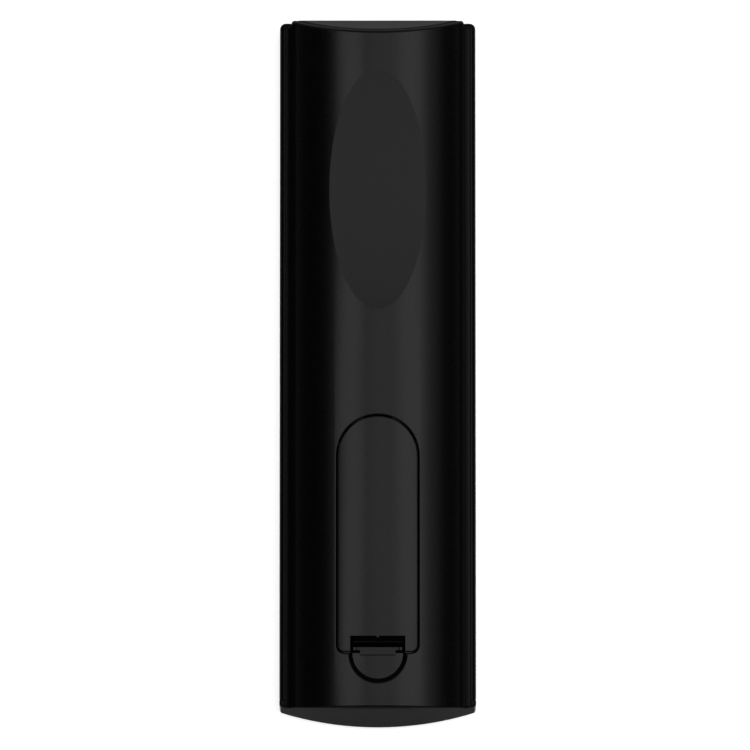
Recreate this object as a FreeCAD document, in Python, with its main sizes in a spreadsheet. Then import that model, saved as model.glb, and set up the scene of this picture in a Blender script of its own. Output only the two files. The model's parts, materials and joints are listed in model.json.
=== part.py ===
"""Handheld remote control for a television box, lying face down as it is picked up.

X runs across it, Y towards its head end and Z up through its back. The front rim is the plane Z = 0, so
every height below counts up from the face of the remote. Sizes are in millimetres and degrees.
"""
import FreeCAD, Part
import os
import re

import Sketcher

SIZES = {
    # Whole remote
    "length": 192.0,
    "width": 53.2,
    "thickness": 20.6,
    "wall": 1.5,
    "seam": 0.2,
    "edge_round": 1.2,
    "corner_round": 1.6,
    # Front cover
    "rim": 1.36,
    "front_wall": 2.4,
    "frame_lip": 0.8,
    "frame_width": 3.4,
    "plate_seat": 1.2,
    "plate_gap": 0.15,
    "head_step": 0.7,
    "foot_wall_height": 3.0,
    "rib_width": 1.2,
    "rib_depth": 1.0,
    "rib_first": 12.0,
    "rib_pitch": 26.0,
    # Rear cover
    "barrel_radius": 33.0,
    "ledge_width": 1.6,
    "head_slope": 0.405,
    "foot_radius": 89.5,
    "foot_slope": 0.33,
    "foot_block": 7.5,
    "block_round": 1.0,
    "end_bevel": 0.5,
    "scoop_width": 26.1,
    "scoop_length": 64.7,
    "scoop_from_head": 46.8,
    "recess_radius": 8.0,
    "recess_draft": 1.2,
    "recess_depth": 1.6,
    "recess_floor": 1.3,
    # Window at the head end
    "window_bottom": 4.5,
    "window_wall": 1.6,
    "window_depth": 5.0,
    # Battery well and its cells
    "cell_radius": 5.25,
    "cell_length": 44.5,
    "nub_radius": 1.9,
    "nub_length": 1.2,
    "cell_gap": 0.2,
    "cell_clearance": 0.2,
    "contact_room": 3.0,
    "contact_sheet": 0.4,
    "contact_width": 6.0,
    "contact_gap": 0.1,
    "contact_height": 9.0,
    "leaf_drop": 4.0,
    "tail_width": 1.6,
    "tail_gap": 0.3,
    "well_floor": 1.2,
    "well_foot_wall": 0.8,
    # Battery door
    "door_from_foot": 20.4,
    "door_thickness": 1.5,
    "door_gap": 0.3,
    "door_rest_gap": 0.15,
    "door_rebate": 0.35,
    "door_corner": 2.2,
    "deck_length": 7.0,
    "deck_thickness": 1.2,
    "tongue_width": 7.0,
    "tongue_reach": 1.5,
    "tongue_thickness": 0.8,
    "tongue_drop": 0.45,
    "tongue_root": 2.0,
    "tongue_side_gap": 0.3,
    "tongue_swing": 3.5,
    # Latch of the door
    "latch_width": 13.6,
    "latch_sheet": 0.8,
    "latch_side_gap": 0.6,
    "latch_set_in": 0.8,
    "latch_gap": 3.1,
    "latch_bend": 6.8,
    "latch_split": 0.2,
    "latch_pocket": 1.2,
    "latch_pocket_floor": 0.8,
    "tab_width": 9.5,
    "tab_reach": 0.6,
    "tab_thickness": 0.8,
    "tab_lift": 0.15,
    "nose_width": 6.0,
    "nose_catch": 0.4,
    "nose_gap": 0.45,
    "nose_height": 1.5,
    "ear_radius": 0.6,
    "notch_mark": 0.6,
    # Face plate
    "boss_radius": 1.7,
    "boss_bore": 0.8,
    "boss_from_edge": 3.8,
    "boss_clearance": 0.3,
    "lens_radius": 1.5,
    "lens_flange": 0.8,
    "lens_clearance": 0.1,
    # Keys
    "key_top": 0.2,
    "key_flange": 0.6,
    "key_flange_thickness": 0.5,
    "key_clearance": 0.25,
    "key_gap": 0.1,
    "key_bevel": 0.3,
    "key_travel": 0.8,
    "rocker_tilt": 3.0,
    "command_width": 10.5,
    "command_length": 6.0,
    "digit_width": 10.5,
    "digit_length": 7.0,
    "corner_width": 8.0,
    "corner_length": 6.0,
    "rocker_width": 8.5,
    "rocker_length": 18.0,
    "middle_width": 9.0,
    "middle_length": 6.5,
    "colour_width": 8.0,
    "colour_length": 4.5,
    "power_width": 9.0,
    "power_length": 7.0,
    "key_round": 1.0,
    "ring_outer": 16.5,
    "ring_inner": 7.3,
    "ring_split": 0.8,
    "ok_radius": 6.6,
    "column_pitch": 14.0,
    "digit_pitch": 10.5,
    "command_pitch": 9.0,
    "colour_pitch": 12.0,
    "power_side": 15.0,
    "corner_side": 18.5,
    "corner_reach": 16.5,
    "rocker_side": 15.5,
    "lens_from_head": 8.0,
    "power_from_head": 16.0,
    "command_from_head": 28.0,
    "ring_from_head": 62.0,
    "rocker_from_head": 93.0,
    "mute_from_head": 86.5,
    "home_from_head": 97.5,
    "digits_from_head": 115.0,
    "colours_from_head": 159.0,
    # Mat, board and what the board carries
    "mat_web": 0.7,
    "mat_side_gap": 1.2,
    "mat_margin": 5.0,
    "pad_inset": 1.4,
    "board_thickness": 1.2,
    "board_side_gap": 0.44,
    "board_head_gap": 5.4,
    "board_foot_gap": 17.0,
    "board_clearance": 0.4,
    "screw_head_radius": 1.6,
    "screw_head_height": 1.0,
    "screw_fit": 0.05,
    "screw_length": 3.0,
    "screw_head_from_head": 8.0,
    "screw_middle_from_head": 106.8,
    "screw_foot_from_head": 170.0,
    "chip_width": 7.5,
    "chip_length": 10.0,
    "chip_height": 1.8,
    "lead_pitch": 1.27,
    "lead_width": 0.4,
    "lead_reach": 1.2,
    "crystal_width": 10.5,
    "crystal_length": 4.4,
    "crystal_height": 3.5,
    "capacitor_radius": 2.5,
    "capacitor_height": 7.0,
    "capacitor_bevel": 0.4,
    "led_radius": 2.5,
    "led_length": 5.6,
    "led_flange": 0.4,
    "led_lift": 3.2,
    "led_from_head": 4.2,
    "led_lead": 0.5,
    "led_lead_pitch": 2.54,
    "indicator_size": 1.6,
    "indicator_height": 0.6,
    # Spare lengths that let cutting shapes pass through
    "overcut": 5.0,
    "overlap": 0.2,
}

# Small holes, bosses and screws have this many sides
SMALL_SIDES = 12

# Heights and places that several pieces share, as formulas of the sizes
HALF_LENGTH = "(length/2)"
HALF_WIDTH = "(width/2)"
HEAD_FACE = "(length/2 - head_step)"
LEDGE_HALF = "(width/2 - rim - seam)"
BARREL_HALF = "(width/2 - rim - seam - ledge_width)"
AXIS_HEIGHT = "(thickness - barrel_radius)"
LEDGE_TOP = f"({AXIS_HEIGHT} + sqrt(barrel_radius^2 - {BARREL_HALF}^2))"
LEDGE_UNDER = f"({LEDGE_TOP} - wall)"
HOLLOW_RADIUS = "(barrel_radius - wall)"
HOLLOW_HALF = f"sqrt({HOLLOW_RADIUS}^2 - ({LEDGE_UNDER} - {AXIS_HEIGHT})^2)"
FOOT_AXIS = "(foot_radius - length/2)"
FOOT_STEP = "(foot_block - length/2)"
BLOCK_BOTTOM = "(foot_wall_height + seam)"
HEAD_LIMIT = "(length/2 - head_step - rim - seam)"
BOARD_HALF = "(width/2 - rim - rib_depth - board_side_gap)"
WINDOW_RADIUS = f"({HOLLOW_RADIUS} - seam)"
WINDOW_HALF = f"sqrt({WINDOW_RADIUS}^2 - ({LEDGE_UNDER} - {AXIS_HEIGHT})^2)"

PLATE_EDGE = "(frame_width - plate_seat)"
FLANGE_UNDER = "(front_wall + key_gap)"
FLANGE_TOP = f"({FLANGE_UNDER} + key_flange_thickness)"
PAD_TOP = f"({FLANGE_TOP} + key_gap)"
WEB_FRONT = f"({PAD_TOP} + key_travel)"
BOARD_FRONT = f"({WEB_FRONT} + mat_web)"
BOARD_BACK = f"({BOARD_FRONT} + board_thickness)"
ROCKER_LIFT = "(sin(rocker_tilt)*(rocker_length/2 + key_flange))"

WELL_BOTTOM = f"({BOARD_BACK} + board_clearance)"
WELL_FLOOR = f"({WELL_BOTTOM} + well_floor)"
CELL_HEIGHT = f"({WELL_FLOOR} + cell_clearance + cell_radius)"
CELL_SIDE = "(cell_radius + cell_gap/2)"
WELL_HALF = "(2*cell_radius + cell_gap/2 + cell_clearance)"
OPENING_HALF = f"({WELL_HALF} + door_rebate)"
OPENING_FOOT = "(door_from_foot - length/2)"
ARM_OUTER = f"({OPENING_FOOT} + latch_set_in)"
ARM_INNER = f"({ARM_OUTER} + latch_sheet)"
NOTCH_HEAD = f"({ARM_INNER} + latch_gap)"
POCKET_HEAD = f"({NOTCH_HEAD} + latch_sheet + latch_split)"
WELL_FOOT = f"({POCKET_HEAD} + well_foot_wall)"
WELL_HEAD = f"({WELL_FOOT} + cell_length + 2*contact_room)"
OPENING_HEAD = f"({WELL_HEAD} + deck_length)"
SEAT_RADIUS = "(barrel_radius - door_thickness - door_rest_gap)"
RECESS_RADIUS = "(barrel_radius - recess_depth)"
LIP_RADIUS = "(barrel_radius - recess_depth - recess_floor)"
LIP_UNDER = f"({AXIS_HEIGHT} + {LIP_RADIUS})"
BEND_OUTER = "(latch_sheet + latch_gap/2)"
BEND_CENTRE = f"({ARM_INNER} + latch_gap/2)"
BEND_HEIGHT = "(thickness - latch_bend)"
POCKET_FLOOR = f"({BEND_HEIGHT} - {BEND_OUTER} - latch_pocket_floor)"
TAB_UNDER = f"({AXIS_HEIGHT} + {RECESS_RADIUS} + tab_lift)"
TONGUE_TOP = "(thickness - wall - tongue_drop)"
TONGUE_UNDER = f"({TONGUE_TOP} - tongue_thickness)"
NOTCH_FLOOR = f"(thickness - sqrt((thickness - {TONGUE_UNDER})^2 + tongue_reach^2) - tongue_side_gap)"
SCOOP_DEPTH = "(barrel_radius - sqrt(barrel_radius^2 - (scoop_width/2)^2))"
SCOOP_RADIUS = f"(((scoop_length/2)^2 + {SCOOP_DEPTH}^2)/(2*{SCOOP_DEPTH}))"

DOC = FreeCAD.newDocument("RemoteControl")
SHEET = DOC.addObject("Spreadsheet::Sheet", "Sizes")
PARTS = {}
WORD = re.compile(r"[a-z][a-z_]*")


def fill_sheet():
    """Write every driving size into the sheet, a name and a number on each row."""
    for row, (name, value) in enumerate(SIZES.items(), start=1):
        SHEET.set(f"A{row}", name)
        SHEET.set(f"B{row}", str(value))
        SHEET.setAlias(f"B{row}", name)
    SHEET.recompute()


def linked(formula):
    """Return a formula with each size's name pointing at its cell."""
    return WORD.sub(lambda word: f"Sizes.{word[0]}" if word[0] in SIZES else word[0], formula)


def number(formula):
    """Work a formula out from the sheet."""
    return float(SHEET.evalExpression(linked(formula)))


def bind(thing, entry, formula):
    """Drive one entry of an object from the sheet."""
    thing.setExpression(entry, linked(formula))


def negative(formula):
    """Return the formula's negative."""
    return f"-({formula})"


def rotation(axis, angle):
    """Return a turn about an axis, given as a triple."""
    return FreeCAD.Rotation(FreeCAD.Vector(*axis), angle)


def place(thing, x="0", y="0", z="0", turn=None):
    """Put an object at a place bound to the sheet."""
    if turn:
        thing.Placement = FreeCAD.Placement(FreeCAD.Vector(), turn)
    for axis, formula in zip("xyz", (x, y, z)):
        bind(thing, f"Placement.Base.{axis}", formula)


# Sketches


def arc_between(start, end, radius, side):
    """Return an arc from start to end whose centre lies on the given side of its direction."""
    chord = end - start
    middle = (start + end) * 0.5
    rise = max(radius**2 - (chord.Length / 2) ** 2, 0) ** 0.5
    across = FreeCAD.Vector(-chord.y, chord.x, 0).normalize()
    centre = middle + across * (rise if side == "left" else -rise)
    first, last = (start, end) if side == "left" else (end, start)
    angles = [FreeCAD.Vector(1, 0, 0).getAngle(point - centre) for point in (first, last)]
    angles = [a if (p - centre).y >= 0 else -a for a, p in zip(angles, (first, last))]
    circle = Part.Circle(centre, FreeCAD.Vector(0, 0, 1), radius)
    return Part.ArcOfCircle(circle, *angles)


def outline(sketch, corners):
    """Draw a closed outline through corners (x, y) or (x, y, radius, side of the arc's centre)."""
    points = [FreeCAD.Vector(number(c[0]), number(c[1]), 0) for c in corners]
    first = sketch.GeometryCount
    edges, ends = [], []
    for index, corner in enumerate(corners):
        start, end = points[index], points[(index + 1) % len(corners)]
        if len(corner) == 2:
            edges.append(Part.LineSegment(start, end))
            ends.append((1, 2))
        else:
            edges.append(arc_between(start, end, number(corner[2]), corner[3]))
            ends.append((1, 2) if corner[3] == "left" else (2, 1))
    sketch.addGeometry(edges, False)
    joins, held = [], []
    for index, corner in enumerate(corners):
        edge, following = first + index, (index + 1) % len(corners)
        joins.append(Sketcher.Constraint(
            "Coincident", edge, ends[index][1], first + following, ends[following][0]
        ))
        for kind, formula, value in zip(("DistanceX", "DistanceY"), corner, points[index]):
            held.append((kind, formula, (-1, 1, edge, ends[index][0], value)))
        if len(corner) > 2:
            held.append(("Radius", corner[2], (edge, number(corner[2]))))
    hold(sketch, held, joins)


def hold(sketch, held, joins=()):
    """Add joins and driven constraints, each (kind, formula, what it measures), to a sketch."""
    first = sketch.ConstraintCount + len(joins)
    sketch.addConstraint([*joins, *(Sketcher.Constraint(kind, *where) for kind, _, where in held)])
    for index, (kind, formula, _) in enumerate(held, start=first):
        sketch.renameConstraint(index, f"{kind}{index}")
        bind(sketch, f"Constraints.{kind}{index}", formula)


def disc(sketch, radius, x="0", y="0"):
    """Draw a circle."""
    centre = FreeCAD.Vector(number(x), number(y), 0)
    edge = sketch.addGeometry(Part.Circle(centre, FreeCAD.Vector(0, 0, 1), number(radius)), False)
    hold(sketch, [
        ("DistanceX", x, (-1, 1, edge, 3, centre.x)), ("DistanceY", y, (-1, 1, edge, 3, centre.y)),
        ("Radius", radius, (edge, number(radius))),
    ])


def rectangle(sketch, left, bottom, right, top):
    """Draw a rectangle between two corners."""
    outline(sketch, [(left, bottom), (right, bottom), (right, top), (left, top)])


def small_disc(sketch, radius, x="0", y="0"):
    """Draw a small circle as a regular outline of a few sides."""
    turns = [360 / SMALL_SIDES * index for index in range(SMALL_SIDES)]
    outline(sketch, [(f"{x} + {radius}*cos({turn})", f"{y} + {radius}*sin({turn})") for turn in turns])


def rounded_rectangle(sketch, width, length, radius):
    """Draw a rectangle about the sketch's origin, each corner rounded in two facets."""
    x, y = f"({width})/2", f"({length})/2"
    corners = []
    for sign_x, sign_y, upright in ((1, -1, False), (1, 1, True), (-1, 1, False), (-1, -1, True)):
        short = (f"{sign_x}*({x} - {radius})", f"{sign_y}*{y}")
        middle = (f"{sign_x}*({x} - {radius}*(1 - sqrt(0.5)))", f"{sign_y}*({y} - {radius}*(1 - sqrt(0.5)))")
        tall = (f"{sign_x}*{x}", f"{sign_y}*({y} - {radius})")
        corners += [tall, middle, short] if upright else [short, middle, tall]
    outline(sketch, corners)


def sheet_outline(inset, head):
    """Return the remote's plan outline drawn in by an inset, up to a head line."""
    x = f"({HALF_WIDTH} - {inset})"
    radius = f"(foot_radius - {inset})"
    corner = f"({FOOT_AXIS} - sqrt({radius}^2 - {x}^2))"
    return [(negative(x), corner, radius, "left"), (x, corner), (x, head), (negative(x), head)]


# Solids made by features


def new_body(name):
    """Start a body and list it as a piece of the remote."""
    body = DOC.addObject("PartDesign::Body", name)
    body.Label = name
    PARTS[name] = body
    return body


def sketch_on(body, plane, name, x="0", y="0", z="0"):
    """Attach a new sketch to one of the body's own origin planes, moved along its axes."""
    sketch = body.newObject("Sketcher::SketchObject", name)
    support = next(f for f in body.Origin.OriginFeatures if f.Role == f"{plane}_Plane")
    sketch.AttachmentSupport = [(support, "")]
    sketch.MapMode = "FlatFace"
    for axis, formula in zip("xyz", (x, y, z)):
        bind(sketch, f"AttachmentOffset.Base.{axis}", formula)
    return sketch


def pad(body, sketch, name, length, side="One side", backwards=False):
    """Add the sketch's outline pushed out to a length."""
    feature = body.newObject("PartDesign::Pad", name)
    feature.Profile = sketch
    feature.SideType = side
    feature.Reversed = backwards
    bind(feature, "Length", length)
    return feature


def pocket(body, sketch, name, length, side="One side", backwards=False):
    """Cut the sketch's outline away to a length, against its normal unless backwards."""
    feature = body.newObject("PartDesign::Pocket", name)
    feature.Profile = sketch
    feature.SideType = side
    feature.Reversed = backwards
    bind(feature, "Length", length)
    return feature


def edges_where(feature, test):
    """Return the names of the feature's edges whose ends and middle pass a test."""
    DOC.recompute([feature])
    names = []
    for index, edge in enumerate(feature.Shape.Edges, start=1):
        middle = edge.valueAt((edge.FirstParameter + edge.LastParameter) / 2)
        if all(test(point) for point in [v.Point for v in edge.Vertexes] + [middle]):
            names.append(f"Edge{index}")
    return names


def round_edges(body, feature, name, radius, test):
    """Fillet the edges of a feature that pass a test."""
    fillet = body.newObject("PartDesign::Fillet", name)
    fillet.Base = (feature, edges_where(feature, test))
    bind(fillet, "Radius", radius)
    return fillet


def bevel_edges(body, feature, name, size, test):
    """Chamfer the edges of a feature that pass a test."""
    chamfer = body.newObject("PartDesign::Chamfer", name)
    chamfer.Base = (feature, edges_where(feature, test))
    bind(chamfer, "Size", size)
    return chamfer


def near(value, target):
    """Tell whether a coordinate lies at a target."""
    return abs(value - target) < 1e-4


# Solids made from primitives and booleans


def box(name, low, high):
    """Make a block between two corners, each a triple of formulas."""
    solid = DOC.addObject("Part::Box", name)
    for side, bottom, top in zip(("Length", "Width", "Height"), low, high):
        bind(solid, side, f"{top} - ({bottom})")
    place(solid, *low)
    return solid


def mirrored_box(name, half, low, high):
    """Make a block that reaches as far to both sides of the middle."""
    return box(name, (negative(half), *low), (half, *high))


def barrel(name, radius):
    """Make a cylinder about the axis of the rear cover's barrel."""
    solid = DOC.addObject("Part::Cylinder", name)
    bind(solid, "Radius", radius)
    bind(solid, "Height", "length + 2*overcut")
    place(solid, y=f"{HALF_LENGTH} + overcut", z=AXIS_HEIGHT, turn=rotation((1, 0, 0), 90))
    return solid


def upright_cone(name, bottom_radius, top_radius, y, bottom, top):
    """Make a cone about an upright axis on the remote's middle line."""
    solid = DOC.addObject("Part::Cone", name)
    bind(solid, "Radius1", bottom_radius)
    bind(solid, "Radius2", top_radius)
    bind(solid, "Height", f"{top} - ({bottom})")
    place(solid, y=y, z=bottom)
    return solid


def upright_cylinder(name, radius, y, bottom, top, x="0"):
    """Make a cylinder about an upright axis."""
    solid = DOC.addObject("Part::Cylinder", name)
    bind(solid, "Radius", radius)
    bind(solid, "Height", f"{top} - ({bottom})")
    place(solid, x, y, bottom)
    return solid


def crosswise(name, radius, y, z):
    """Make a cylinder that lies across the remote."""
    solid = DOC.addObject("Part::Cylinder", name)
    bind(solid, "Radius", radius)
    bind(solid, "Height", "width + 2*overcut")
    place(solid, x=f"-{HALF_WIDTH} - overcut", y=y, z=z, turn=rotation((0, 1, 0), 90))
    return solid


def section(name, corners, start, end):
    """Push an outline drawn in X and Z out along Y."""
    sketch = DOC.addObject("Sketcher::SketchObject", f"{name}_sketch")
    outline(sketch, corners)
    place(sketch, y=end, turn=rotation((1, 0, 0), 90))
    solid = DOC.addObject("Part::Extrusion", name)
    solid.Base = sketch
    solid.DirMode = "Normal"
    solid.Solid = True
    bind(solid, "LengthFwd", f"{end} - ({start})")
    return solid


def profile(name, corners, half):
    """Push an outline drawn in Y and Z out to both sides of the middle."""
    sketch = DOC.addObject("Sketcher::SketchObject", f"{name}_sketch")
    outline(sketch, corners)
    turn = rotation((0, 0, 1), 90).multiply(rotation((1, 0, 0), 90))
    place(sketch, x=negative(half), turn=turn)
    solid = DOC.addObject("Part::Extrusion", name)
    solid.Base = sketch
    solid.DirMode = "Normal"
    solid.Solid = True
    bind(solid, "LengthFwd", f"2*{half}")
    return solid


def plan(name, draw, bottom, top, x="0", y="0"):
    """Push an outline drawn in X and Y upwards."""
    sketch = DOC.addObject("Sketcher::SketchObject", f"{name}_sketch")
    draw(sketch)
    place(sketch, x, y, bottom)
    solid = DOC.addObject("Part::Extrusion", name)
    solid.Base = sketch
    solid.DirMode = "Normal"
    solid.Solid = True
    bind(solid, "LengthFwd", f"{top} - ({bottom})")
    return solid


def joined(name, *solids):
    """Fuse solids."""
    fusion = DOC.addObject("Part::MultiFuse", name)
    fusion.Shapes = list(solids)
    fusion.Refine = True
    return fusion


def shared(name, *solids):
    """Keep what solids have in common."""
    common = DOC.addObject("Part::MultiCommon", name)
    common.Shapes = list(solids)
    return common


def without(name, solid, *tools):
    """Cut tools from a solid."""
    tool = tools[0] if len(tools) == 1 else joined(f"{name}_tools", *tools)
    cut = DOC.addObject("Part::Cut", name)
    cut.Base = solid
    cut.Tool = tool
    cut.Refine = True
    return cut


def finished(name, blank):
    """Carry a boolean solid on as a body, so that features can follow, and list it as a piece."""
    body = new_body(name)
    base = body.newObject("PartDesign::FeatureBase", f"{name}_base")
    base.BaseFeature = blank
    return body


# Outer shells


def front_cover():
    """Tray with the side walls, the frame round the face plate and the ribs under the rear ledge."""
    body = new_body("front_cover")
    sketch = sketch_on(body, "XY", "tray_outline")
    outline(sketch, sheet_outline("0", HEAD_FACE))
    tray = pad(body, sketch, "tray", LEDGE_TOP)
    side = number(HALF_WIDTH)
    corners = round_edges(body, tray, "corners", "corner_round", lambda point: near(abs(point.x), side))
    rims = (0, number(LEDGE_TOP))
    round_edges(body, corners, "rim_round", "edge_round",
                lambda point: any(near(point.z, height) for height in rims))

    sketch = sketch_on(body, "XY", "inside_outline", z="front_wall")
    outline(sketch, sheet_outline("rim", f"({HEAD_FACE} - rim)"))
    pocket(body, sketch, "inside", LEDGE_TOP, backwards=True)
    sketch = sketch_on(body, "XY", "frame_outline")
    outline(sketch, sheet_outline("frame_width", f"({HEAD_FACE} - frame_width)"))
    pocket(body, sketch, "frame", LEDGE_TOP, backwards=True)
    sketch = sketch_on(body, "XY", "seat_outline", z="frame_lip")
    outline(sketch, sheet_outline(PLATE_EDGE, f"({HEAD_FACE} - {PLATE_EDGE})"))
    pocket(body, sketch, "seat", LEDGE_TOP, backwards=True)

    sketch = sketch_on(body, "XY", "foot_step_outline", z="foot_wall_height")
    beyond = f"({HALF_WIDTH} + overcut)"
    rectangle(sketch, negative(beyond), f"-{HALF_LENGTH} - overcut", beyond, f"{FOOT_STEP} + seam")
    pocket(body, sketch, "foot_step", LEDGE_TOP, backwards=True)
    sketch = sketch_on(body, "XZ", "window_notch_outline", z=negative(HEAD_FACE + " + overcut"))
    narrow, wide = f"({WINDOW_HALF} + seam)", f"({BARREL_HALF} + seam)"
    step, high = f"({LEDGE_UNDER} - seam)", f"({LEDGE_TOP} + overcut)"
    outline(sketch, [
        (negative(narrow), "window_bottom - seam"), (narrow, "window_bottom - seam"),
        (narrow, step), (wide, step), (wide, high), (negative(wide), high),
        (negative(wide), step), (negative(narrow), step),
    ])
    pocket(body, sketch, "window_notch", "overcut + 2*rim", backwards=True)

    sketch = sketch_on(body, "XY", "rib_outline", z="front_wall")
    inner, outer = f"({HALF_WIDTH} - rim - rib_depth)", f"({HALF_WIDTH} - rim + overlap)"
    low, top = f"({FOOT_STEP} + rib_first)", f"({FOOT_STEP} + rib_first + rib_width)"
    rectangle(sketch, inner, low, outer, top)
    rectangle(sketch, negative(outer), low, negative(inner), top)
    ribs = pad(body, sketch, "ribs", f"{LEDGE_UNDER} - front_wall")
    pattern = body.newObject("PartDesign::LinearPattern", "rib_rows")
    pattern.Originals = [ribs]
    axis = next(f for f in body.Origin.OriginFeatures if f.Role == "Y_Axis")
    pattern.Direction = (axis, [""])
    run = number(f"{HEAD_LIMIT} - {FOOT_STEP} - rib_first - window_depth")
    spaces = int(run / number("rib_pitch"))
    pattern.Occurrences = spaces + 1
    bind(pattern, "Length", f"rib_pitch*{spaces}")
    body.Tip = pattern


def rear_cover():
    """Barrel-shaped shell with the finger recess, the battery well and the thumb recess."""
    under, top = LEDGE_UNDER, LEDGE_TOP
    blank = section("cover_section", [
        (negative(LEDGE_HALF), under), (LEDGE_HALF, under), (LEDGE_HALF, top),
        (BARREL_HALF, top, "barrel_radius", "left"), (negative(BARREL_HALF), top),
        (negative(LEDGE_HALF), top),
    ], f"(-{HALF_LENGTH} - overcut)", HALF_LENGTH)
    block = mirrored_box("foot_corners", HALF_WIDTH,
                         (f"-{HALF_LENGTH} - overcut", BLOCK_BOTTOM), (FOOT_STEP, top))
    outer = joined("cover_outer", blank, block)

    # The hollow keeps a wall under the barrel, the foot face, the finger recess and the thumb recess
    low = f"({BLOCK_BOTTOM} - overcut)"
    inner = section("hollow_section", [
        (negative(HOLLOW_HALF), low), (HOLLOW_HALF, low),
        (HOLLOW_HALF, under, HOLLOW_RADIUS, "left"), (negative(HOLLOW_HALF), under),
    ], f"(-{HALF_LENGTH} - overcut)", f"({HALF_LENGTH} + overcut)")
    block_hollow = mirrored_box("foot_hollow", f"({HALF_WIDTH} - wall)",
                                (f"-{HALF_LENGTH} - overcut", low), (f"{FOOT_STEP} + overcut", under))
    hollow = without(
        "hollow",
        joined("hollow_outer", inner, block_hollow),
        foot_trim("foot_inside", "wall*sqrt(1 + foot_slope^2)"),
        scoop("scoop_backing", "wall"),
        well_block(),
        recess_backing(),
    )
    shell = without(
        "rear_shell",
        outer,
        hollow,
        foot_trim("foot_outside", "0"),
        head_trim("head_outside", "0"),
        scoop("finger_recess", "0"),
        *ledge_ends(),
        *well_tools(),
    )
    body = finished("rear_cover", shell)
    side, step = number(HALF_WIDTH), number(f"{FOOT_STEP} - overlap")
    barrel_side, head = number(BARREL_HALF), number(HALF_LENGTH)
    corners = round_edges(body, body.Tip, "end_corners", "block_round",
                          lambda point: near(abs(point.x), side) and point.y < step
                          or near(abs(point.x), barrel_side) and near(point.y, head))
    axis, radius = number(AXIS_HEIGHT), number("barrel_radius")
    slope_foot = number(f"{HALF_LENGTH} - head_slope*(thickness - {LEDGE_TOP}) - overlap")
    bevel_edges(body, corners, "crest_ends", "end_bevel",
                lambda point: near((point.x**2 + (point.z - axis) ** 2) ** 0.5, radius)
                and (point.y < step or point.y > slope_foot))


def foot_trim(name, inset):
    """Everything beyond the sloped, bowed face of the foot end, drawn in by an inset."""
    low, high = BLOCK_BOTTOM, "(thickness + overcut)"
    block = mirrored_box(f"{name}_block", f"({HALF_WIDTH} + overcut)",
                         (f"-{HALF_LENGTH} - 2*overcut", f"{BLOCK_BOTTOM} - 2*overcut"),
                         (f"{FOOT_AXIS} - foot_radius/2", high))
    cone = upright_cone(f"{name}_cone", f"foot_radius - {inset}",
                        f"foot_radius - {inset} - foot_slope*({high} - {low})", FOOT_AXIS, low, high)
    below = upright_cylinder(f"{name}_below", f"foot_radius - {inset}", FOOT_AXIS,
                             f"{low} - 3*overcut", low)
    return without(name, block, cone, below)


def head_trim(name, inset):
    """Everything beyond the sloped face of the head end, drawn in by an inset."""
    foot = f"({HALF_LENGTH} - {inset})"
    rise = f"(thickness + overcut - {LEDGE_TOP})"
    corners = [
        (foot, f"{LEDGE_TOP} - 4*overcut"), (f"{HALF_LENGTH} + 2*overcut", f"{LEDGE_TOP} - 4*overcut"),
        (f"{HALF_LENGTH} + 2*overcut", "thickness + overcut"),
        (f"{foot} - head_slope*{rise}", "thickness + overcut"), (foot, LEDGE_TOP),
    ]
    return profile(name, corners, f"({HALF_WIDTH} + overcut)")


def scoop(name, backing):
    """The wide cylinder across the remote that the finger recess is cut with."""
    return crosswise(name, f"{SCOOP_RADIUS} + {backing}", f"{HALF_LENGTH} - scoop_from_head",
                     f"thickness - {SCOOP_DEPTH} + {SCOOP_RADIUS}")


def ledge_ends():
    """The two blocks that end the ledges at the front cover's head wall."""
    for side, name in ((1, "right"), (-1, "left")):
        edges = sorted((f"{side}*{BARREL_HALF}", f"{side}*({HALF_WIDTH} + overcut)"), key=number)
        yield box(f"ledge_end_{name}", (edges[0], HEAD_LIMIT, f"{LEDGE_UNDER} - overcut"),
                  (edges[1], f"{HALF_LENGTH} + overcut", f"{LEDGE_TOP} + overcut"))


def well_block():
    """The solid block inside the cover that the battery well and the hinge deck are cut from."""
    return mirrored_box("well_block", f"({WELL_HALF} + wall)",
                        (f"{OPENING_FOOT} - latch_pocket - wall", WELL_BOTTOM),
                        (f"{OPENING_HEAD} + tongue_reach + tongue_side_gap + wall", "thickness"))


def recess_backing():
    """The floor plate under the thumb recess."""
    disc_block = upright_cylinder("recess_block", "recess_radius + wall", OPENING_FOOT,
                                  f"{LIP_UNDER} - 2*overcut", "thickness + overcut")
    return without("recess_plate", disc_block, barrel("recess_plate_under", LIP_RADIUS))


def door_arch(name, gap, bottom, top):
    """Prism over the door opening, drawn in by a gap all round: an arch on two straight sides."""
    x = f"({OPENING_HALF} - {gap})"
    shoulder = f"({OPENING_HEAD} - {OPENING_HALF})"
    foot = f"({OPENING_FOOT} + {gap})"
    corner = f"(door_corner - {gap})"
    corners = [
        (f"-{x} + {corner}", foot), (f"{x} - {corner}", foot, corner, "left"),
        (x, f"{foot} + {corner}"), (x, shoulder, x, "left"),
        ("0", f"{OPENING_HEAD} - {gap}", x, "left"), (negative(x), shoulder),
        (negative(x), f"{foot} + {corner}", corner, "left"),
    ]
    return plan(name, lambda sketch: outline(sketch, corners), bottom, top)


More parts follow.
